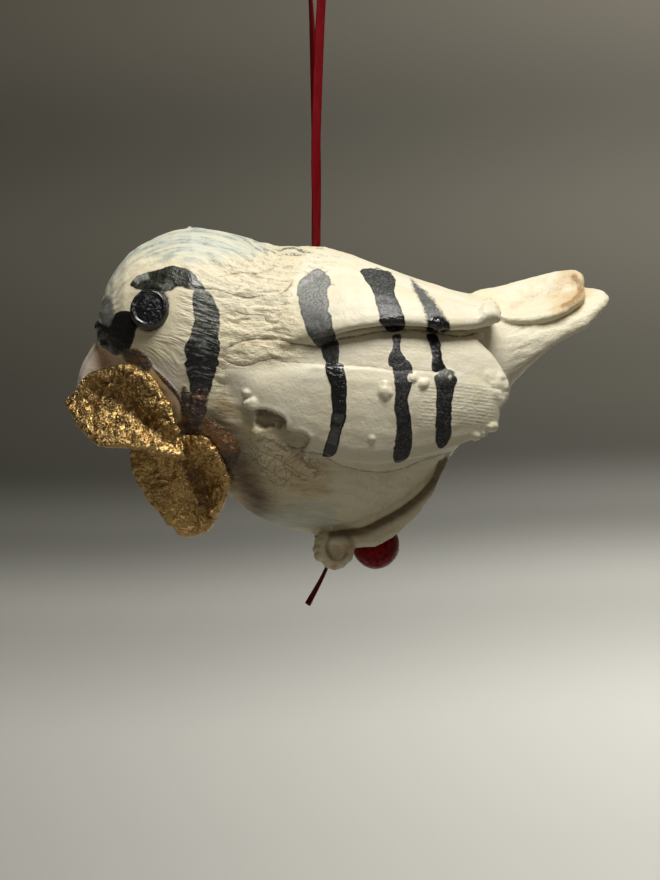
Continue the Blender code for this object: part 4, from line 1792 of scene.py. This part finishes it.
@dataclass
class PorcelainBird:
    """The bird's visible clay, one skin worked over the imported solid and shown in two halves."""

    cell_mm: float = 0.28
    body_lump_mm: float = 0.16
    flake_mm: float = 0.09
    facet_rounds: int = 26
    fan_spacing: float = 3.4
    comb_spacing: float = 3.6
    rest: Points = field(init=False, repr=False)
    drawing: Points = field(init=False, repr=False)
    near: np.ndarray = field(init=False, repr=False)
    slab: Points = field(init=False, repr=False)
    torn: Points = field(init=False, repr=False)
    breast: Points = field(init=False, repr=False)
    crown: Points = field(init=False, repr=False)
    tail: Points = field(init=False, repr=False)
    fan: Points = field(init=False, repr=False)
    flow: Points = field(init=False, repr=False)
    crack_and_shadow_line: Points = field(init=False, repr=False)
    crack_deep: Points = field(init=False, repr=False)
    strap_shade: Points = field(init=False, repr=False)
    curl: Points = field(init=False, repr=False)
    pocket: Points = field(init=False, repr=False)
    recess: Points = field(init=False, repr=False)
    painted: Points = field(init=False, repr=False)
    tone: Points = field(init=False, repr=False)
    glitter: Points = field(init=False, repr=False)
    glue: Points = field(init=False, repr=False)
    amber: Points = field(init=False, repr=False)

    def build(self, finish: bpy.types.Material) -> list[bpy.types.Object]:
        """Makes both halves of the bird.

        Args:
            finish: its material.

        Returns:
            The halves.
        """
        skin = Skin.of_node("bird", self.cell_mm)
        edges = skin.edges()
        self._soften(skin, edges)
        self.rest = skin.points.copy()
        self.drawing = side_drawing(skin.points)
        self.near = skin.points[:, 1] < 0
        self._regions()
        self._flow()
        push = self._broad() + self._flakes() + self._cracks() + self._lumps()
        push += self._paint_thickness() + self._glue_thickness()
        skin.points = skin.points + skin.normals() * push[:, None]
        skin.soften(edges, 1, 0.4)
        facts = self._worked_facts(skin.hollowness(edges, 4)) | self._stained_facts()
        normals = skin.normals()
        left = skin.points[skin.faces].mean(1)[:, 1] < 0
        halves = []
        for name, chosen in (("clay_left_half", left), ("clay_right_half", ~left)):
            piece = dressed_mesh(name, skin, finish, facts, chosen, normals)
            stand_in(piece, "bird")
            halves.append(piece)
        return halves

    def _inside(self, outline: Line, low: float, high: float) -> Points:
        """Reads an outline, eased over its edge.

        Args:
            outline: the outline on the side drawing.
            low: the distance inside its edge where the result is 0.
            high: the distance where it is 1.

        Returns:
            One value for each point.
        """
        return ease(patch_distance(self.drawing, outline), low, high)

    def _along(self, line: Line, width: float) -> Points:
        """Reads a line as 1 on it, fading out to its sides."""
        return np.exp(-((line_distance(self.drawing, line) / width) ** 2))

    def _spot(self, u: float, v: float, radius: float, flat: float = 1.0) -> Points:
        """Reads a round or flat spot.

        Args:
            u: its middle across the side drawing.
            v: its middle down the side drawing.
            radius: how far it fades out.
            flat: how many times wider than high it is.

        Returns:
            1 in the middle, fading out around it.
        """
        gap = np.hypot(self.drawing[:, 0] - u, (self.drawing[:, 1] - v) * flat)
        return np.exp(-((gap / radius) ** 2))

    def _window(self, across: Line = (), down: Line = ()) -> Points:
        """Multiplies eased edges.

        Args:
            across: each edge across the side drawing, as where it is 0 and where it is 1.
            down: each edge down it.

        Returns:
            One value for each point, from 0 to 1.
        """
        total = np.ones(len(self.drawing))
        for places, spans in ((self.drawing[:, 0], across), (self.drawing[:, 1], down)):
            for low, high in spans:
                total = total * ease(places, low, high)
        return total

    def _soften(self, skin: Skin, edges: np.ndarray) -> None:
        """Rounds off the joints, takes the flats out of the broad surfaces and blends the slabs' fronts.

        Args:
            skin: the skin, changed in place.
            edges: its edges.
        """
        skin.soften(edges, 3)
        sharp = np.abs(skin.hollowness(edges, 6))
        for _ in range(3):
            sharp = np.maximum(sharp, skin.spread(sharp, edges))
        skin.soften(edges, self.facet_rounds, 1 - ease(sharp, 0.03, 0.10))
        drawing = side_drawing(skin.points)
        for area, rounds in ((SLAB_FRONTS, 70), (LIP_BLEND, 36)):
            skin.soften(edges, rounds, ease(patch_distance(drawing, area), -4, 6), (0.5,))
        skin.soften(edges, 2)

    def _regions(self) -> None:
        """Marks the areas that were worked in different ways, each from 0 to 1."""
        self.slab = self._inside(SLAB_AREA, -8, 8)
        self.torn = self._inside(TORN_AREA, -14, 16) * (1 - 0.85 * self.slab)
        self.breast = self._inside(BREAST_AREA, -8, 10) * (1 - self.slab)
        crown = self._window([(296, 250)], [(292, 250)]) + self._window([(140, 112)], [(330, 290)])
        self.crown = np.clip(crown, 0, 1) * (1 - self.slab)
        self.tail = self._window([(486, 520)]) * (1 - self.slab)
        behind_eye = self._window([(174, 184), (224, 216)], [(280, 292), (392, 372)])
        below_eye = self._window([(134, 152), (188, 176)], [(330, 338), (384, 366)])
        self.fan = np.maximum(behind_eye, below_eye)

    def _slanted(self, u: float, v: float, degrees: float) -> tuple[Points, Points]:
        """Measures along and across a slanted direction.

        Args:
            u: where it starts across the side drawing.
            v: where it starts down the side drawing.
            degrees: how far it leans down toward the tail.

        Returns:
            Millimetres along and millimetres across.
        """
        lean = math.radians(degrees)
        right, down = (self.drawing - (u, v)).T / DRAWING_UNIT
        return right * math.cos(lean) + down * math.sin(lean), down * math.cos(lean) - right * math.sin(lean)

    def _flow(self) -> None:
        """Works out places along and across the strokes that the clay was smeared with, in mm."""
        along, across = self._slanted(300, 350, 8.0)
        tail_along, tail_across = self._slanted(500, 310, -16.0)
        right, down = (self.drawing - (188, 330)).T
        radius = np.hypot(right, down * 1.1) / DRAWING_UNIT
        round_crown = np.arctan2(down, right) * 100 / DRAWING_UNIT
        along = along * (1 - self.tail) + (tail_along + 33.0) * self.tail
        across = across * (1 - self.tail) + (tail_across - 11.2) * self.tail
        along = along * (1 - self.crown) + (round_crown + 20) * self.crown
        across = across * (1 - self.crown) + (5 - radius) * self.crown
        self.flow = np.stack([along, across, np.abs(self.rest[:, 1]) * 0.7], 1)

    def _broad(self) -> Points:
        """Works out the slow unevenness and the broad hollows of hand-formed clay.

        Returns:
            How far each point stands out, in mm.
        """
        push = self.body_lump_mm * Grain(3).layered(self.rest / 8.0, 2)
        push += 0.05 * Grain(4).layered(self.rest / 2.6, 2)
        for line, width, height in BROAD_FORMS:
            push += height * self._along(line, width) * self.near
        return push

    def _flakes(self) -> Points:
        """Works out smeared and flaking clay: long low folds with stepped edges.

        Returns:
            How far each point stands out, in mm.
        """
        warp = np.stack([Grain(k).layered(self.rest / 3.6, 2) for k in (11, 12, 13)], 1) * (1.2, 0.75, 0.8)
        moved = self.flow + warp
        folds = Grain(14).layered(moved / (5.2, 1.5, 4.0), 3, 0.6)
        steps = folds * 2.1
        whole = np.floor(steps)
        flakes = whole + ease(steps - whole, 0.50, 1.0)
        fine = Grain(15).layered(moved / (2.6, 0.62, 2.0), 2, 0.6)
        belly = self._window(down=[(458, 480)]) * (1 - self.slab)
        strength = 0.05 + self.torn + 0.40 * self.breast + 0.38 * (self.crown + self.tail) + 0.30 * belly
        strength = np.clip(strength, 0, 1.1)
        return strength * (0.05 * folds + self.flake_mm * flakes + 0.065 * fine)

    def _cracks(self) -> Points:
        """Works out shallow grooves along the drawn cracks and shadow lines, and keeps their thin lines for the
        finish, which paints them dark.

        Returns:
            How far each point stands out, in mm.
        """
        self.crack_and_shadow_line = np.full(len(self.drawing), REACH)
        self.crack_deep = np.zeros(len(self.drawing))
        total = np.zeros(len(self.drawing))
        for line, strength in CRACKS_AND_SHADOW_LINES:
            edge = rounded(line, 4, False)
            gap = side_gap(self.drawing, edge)
            closer = np.abs(gap) < np.abs(self.crack_and_shadow_line)
            self.crack_and_shadow_line = np.where(closer, gap, self.crack_and_shadow_line)
            faded = strength * ease(np.abs(gap), 6, 3.5)
            self.crack_deep = np.where(closer, faded, self.crack_deep)
            lip = 0.08 * np.exp(-(((gap + 3.6) / 2.2) ** 2))
            total += strength * (lip - 0.13 * np.exp(-((gap / 2.0) ** 2)))
        self.crack_deep *= self.near
        return total * self.near

    def _lumps(self) -> Points:
        """Works out beads of slip, bumps, the straps' crevices and the pocket at the wing's torn corner.

        Returns:
            How far each point stands out, in mm.
        """
        uneven = Grain(33).layered(self.rest / 0.75, 2)
        total = np.zeros(len(self.drawing))
        for u, v, radius in SLIP_BEADS:
            gap = np.hypot(self.drawing[:, 0] - u, self.drawing[:, 1] - v) / radius + 0.22 * uneven
            total = np.maximum(total, ease(gap, 1.1, 0.35) * radius * 0.085)
        drip = line_distance(self.drawing, SLIP_DRIP) + 1.2 * uneven
        total = np.maximum(total, 0.42 * ease(drip, 5.5, 1.5))
        below = side_gap(self.drawing, rounded(STRAP_CREVICE, 4, False))
        self.strap_shade = ease(below, -1.5, 0.5) * ease(below, 13, 1)
        curl = line_distance(self.drawing, rounded(FOOT_CURL, 4, False)) + 0.5 * uneven
        self.curl = np.exp(-((curl / 2.3) ** 2)) * self.near
        tail_corner = np.hypot(self.drawing[:, 0] - 581, self.drawing[:, 1] - 273)
        total += 0.55 * ease(tail_corner, 6, 1) - 0.40 * np.exp(-((below / 2.6) ** 2)) - 0.30 * self.curl
        total += self._inside(WING_HEAP, -3, 4) * (0.16 + 0.30 * Grain(34).folds(self.rest / 1.5, 2))
        total += 0.22 * self._spot(316, 250, 16) * np.maximum(uneven, 0)
        self.pocket = ease(patch_distance(self.drawing, POCKET) + 1.5 * uneven, -0.6, 1.4) * self.near
        under = side_gap(self.drawing, TORN_EDGE) + 1.3 * uneven
        self.recess = ease(under, -0.6, 1.2) * ease(under, 20, 5) * self.near
        return total * self.near - 0.80 * self.pocket - 0.42 * self.recess

    def _paint(self, patches: Sequence[PaintedPatch]) -> tuple[Points, Points, Points]:
        """Reads painted patches at the points.

        Args:
            patches: the patches.

        Returns:
            How far inside the paint each point is in soft widths, its tone and its glitter.
        """
        inside = np.full(len(self.drawing), -3.0)
        tone = np.full(len(self.drawing), PaintTone.SATIN_DARK.value)
        glitter = np.zeros(len(self.drawing))
        wobble = np.stack([Grain(31).layered(self.rest / 1.2, 3), Grain(32).layered(self.rest / 1.2, 3)], 1)
        places = self.drawing + wobble * 0.9
        for patch in patches:
            gap = patch_distance(places, patch.outline)
            inside = np.maximum(inside, np.clip(gap / patch.soft, -3, 3))
            share = ease(gap, -patch.fade, patch.fade)
            tone = tone * (1 - share) + patch.tone.value * share
            glitter = np.maximum(glitter, patch.glitter * (gap > 0))
        for u, v, radius in CHIPS:
            inside = np.minimum(inside, (np.hypot(places[:, 0] - u, places[:, 1] - v) - radius) / 1.2)
        return inside, tone, glitter

    def _paint_thickness(self) -> Points:
        """Lays on the paint, which stands a little proud of the clay."""
        self.painted, self.tone, self.glitter = self._paint(STRIPES + FACE_MARKS)
        return 0.08 * ease(self.painted, -0.6, 1.2) * ease(self.tone, 0.3, 0.8)

    def _glue_thickness(self) -> Points:
        """Works out the low rounded blobs of glue, and keeps its stains for the finish.

        Returns:
            How far each point stands out, in mm.
        """
        outlines = (GLUE_CHEEK, GLUE_RIM, GLUE_THROAT, GLUE_AMBER, GLUE_DROP)
        edge_widths = (3.5, 1.6, 3.6, 5.0, 2.0)
        gaps = [patch_distance(self.drawing, outline) for outline in outlines]
        soft = [np.clip(gap / width, -3, 3) for gap, width in zip(gaps, edge_widths)]
        leaf_side = ease(-self.rest[:, 1], 2.5, 6.0)
        self.glue = np.maximum.reduce(soft) * leaf_side - 3 * (1 - leaf_side)
        cheek, rim, throat, pool, drop = gaps
        self.amber = ease(pool - throat, -5, 6) * ease(pool, -8, 2) * self._window(down=[(462, 440)])
        self.amber += 0.5 * ease(drop, -1, 1) + 0.18 * ease(cheek, -3, 2)
        self.amber += 0.12 * ease(rim, -3, 1) * ease(throat, 2, -4)
        thick = ease(self.glue, -0.5, 1.5)
        return thick * (0.10 + 0.16 * Grain(36).folds(self.rest / 1.3, 2))

    def _worked_facts(self, hollow: Points) -> dict[str, Points]:
        """Works out how the clay was worked, for the finish.

        Args:
            hollow: how far each point lies in a hollow, in mm.

        Returns:
            Numbers by name, one for each point.
        """
        u, v = self.drawing.T
        mouth = self._spot(296, 253, 32, 2.2)
        belly = self._window(down=[(455, 478)]) * (1 - self.slab)
        brow = self._inside(FACE_MARKS[0].outline, -3, 3) * self.near
        cheek_bar = self._window([(190, 196), (222, 216)], [(284, 292), (345, 325)])
        slope = np.radians(16 + 30 * self._window([(198, 176)], [(330, 365)]))
        fan = (v - 310) * np.cos(slope) - (u - 190) * np.sin(slope)
        wing_tip = self._window([(410, 432), (502, 486)], [(378, 388), (432, 418)])
        covert = self._window([(340, 370), (480, 460)], [(335, 345), (362, 352)])
        comb = np.maximum(wing_tip, 0.35 * covert)
        facts = {
            "paint": self.painted,
            "tone": self.tone,
            "glitter": self.glitter,
            "olive": np.maximum(brow, cheek_bar),
            # Hollows and the pocket, darkened in the finish partly as painted shade.
            "hollow": np.clip(hollow / 0.07, 0, 1.2) * (0.62 + 0.25 * self.torn) + 0.75 * self.pocket,
            "torn": np.clip(self.torn + 0.35 * self.breast + 0.2 * self.tail, 0, 1),
            "slab": self.slab + 0.7 * self.tail,
            "crack_and_shadow_line": self.crack_and_shadow_line,
            "crack_deep": self.crack_deep,
            "hair": self._inside(HAIR_AREA, -10, 6) * self.near,
            "fan": fan / self.fan_spacing,
            "fan_deep": self.fan,
            "comb": (v - u * 0.11 - 0.0006 * (u - 450) ** 2) / self.comb_spacing,
            "comb_deep": comb * ease(np.abs(self.rest[:, 1]), 5, 9),
            "brush": 0.10 + 0.90 * self.torn + 0.55 * self.breast + 0.45 * self.crown,
            "rough": 0.30 + 0.8 * self.torn + 0.35 * self.breast + 0.8 * mouth,
        }
        facts["brush"] = facts["brush"] + 0.60 * self.tail + 0.35 * belly
        facts["rough"] = facts["rough"] + 0.6 * belly + 0.2 * self.tail
        for axis, name in enumerate(("flow_x", "flow_y", "flow_z")):
            facts[name] = self.flow[:, axis]
        return facts

    def _stained_facts(self) -> dict[str, Points]:
        """Works out the washes, stains, glue, painted shade and painted light, for the finish.

        Returns:
            Numbers by name, one for each point.
        """
        mouth = self._spot(296, 253, 32, 2.2)
        pool = line_distance(self.drawing, GLAZE_POOL)
        dots = line_distance(self.drawing, TAIL_DOTS)
        sea = 1.05 * self.crown * self._window(down=[(290, 240)])
        sea += 0.8 * self._window([(140, 108)], [(340, 300)])
        belly_wash = self._window([(236, 262), (356, 325)], [(486, 512), (532, 526)])
        dirt = 1.6 * mouth + 0.75 * self.crown * self._window(down=[(272, 240)])
        dirt += 0.5 * self._window([(138, 116)], [(336, 300)])
        # Ochre: stains on the torn clay, round the cord's mouth, on the tail and round the glaze pool; on the
        # breast and along the neck it is painted shade.
        ochre_stain_and_shade = 0.26 * self.torn + 0.35 * mouth + 0.16 * self.tail + 0.85 * self.breast
        ochre_stain_and_shade += 0.34 * self._along(NECK_SHADE, 16) + 0.95 * ease(pool, 24, 5) + 0.45 * ease(dots, 12, 3)
        ochre_stain_and_shade += 0.55 * self._window([(300, 310), (376, 360)], [(530, 537)])
        ochre_stain_and_shade += 0.35 * self._window([(322, 334)], [(266, 254)])
        # Pale pink at the beak and beside the upper leaf, made paler there as painted light over the shade.
        pink_and_painted_light = self._window([(118, 98)], [(348, 358)])
        pink_and_painted_light += 0.9 * self._window([(190, 170)], [(350, 372)]) * self.near
        pink_and_painted_light = np.clip(pink_and_painted_light, 0, 1) * self._window([(200, 176)])
        salmon = 0.6 * self._window([(124, 104), (90, 99)], [(336, 352), (384, 358)])
        blush = self._spot(347, 549, 5) + self._spot(334, 567, 5)
        shine = ease(self.painted, 0, 1) * ease(self.tone, 0.80, 1.0) * 0.75 + 0.45 * pink_and_painted_light
        # The glaze pool, tail dots and wing streaks are stains; the line under the covert's lip is painted
        # shade.
        stain_and_lip_shade = 1.3 * np.exp(-((pool / 3.4) ** 2)) + 0.42 * np.exp(-((dots / 5) ** 2))
        stain_and_lip_shade += 0.45 * self._along(WING_STAIN, 4) + 0.40 * self._along(LIP_SHADOW_LINE, 3)
        # Painted shade for the crevice above the strap, the foot's curl, the torn pocket and its recess, and
        # the throat.
        painted_shade = 1.5 * self.strap_shade + 0.55 * self.curl + 0.45 * self.pocket + 0.35 * self.recess
        painted_shade += self._along(THROAT_SHADE, 15)
        return {
            "sea": sea + 0.9 * belly_wash,
            "dirt": np.clip(dirt, 0, 1.5),
            "ochre_stain_and_shade": ochre_stain_and_shade,
            "pink_and_painted_light": pink_and_painted_light,
            "salmon": np.maximum(salmon, 0.70 * blush * self.near),
            "glue": self.glue,
            "amber": np.clip(self.amber, 0, 1),
            "gloss": np.clip(shine, 0, 1),
            "stain_and_lip_shade": stain_and_lip_shade,
            "painted_shade": np.clip(painted_shade, 0, 1) * ease(-self.rest[:, 1], 1.0, 4.0),
        }


def main() -> None:
    """Builds the ornament and its studio."""
    logging.basicConfig(level=logging.INFO, format="%(name)s %(message)s")
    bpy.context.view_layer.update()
    Studio().build()
    bead = StopperBead().build(RedBead().build())
    HangingCord().build(SatinCord().build(), bead)
    PorcelainBird().build(Porcelain().build())
    glaze = BlackGlaze().build()
    for hand in Hand:
        BeadEye(hand).build(glaze)
    gold = GoldLeaf().build()
    for plan in LEAF_PLANS:
        GildedLeaf(plan).build(gold)


if __name__ == "__main__":
    main()
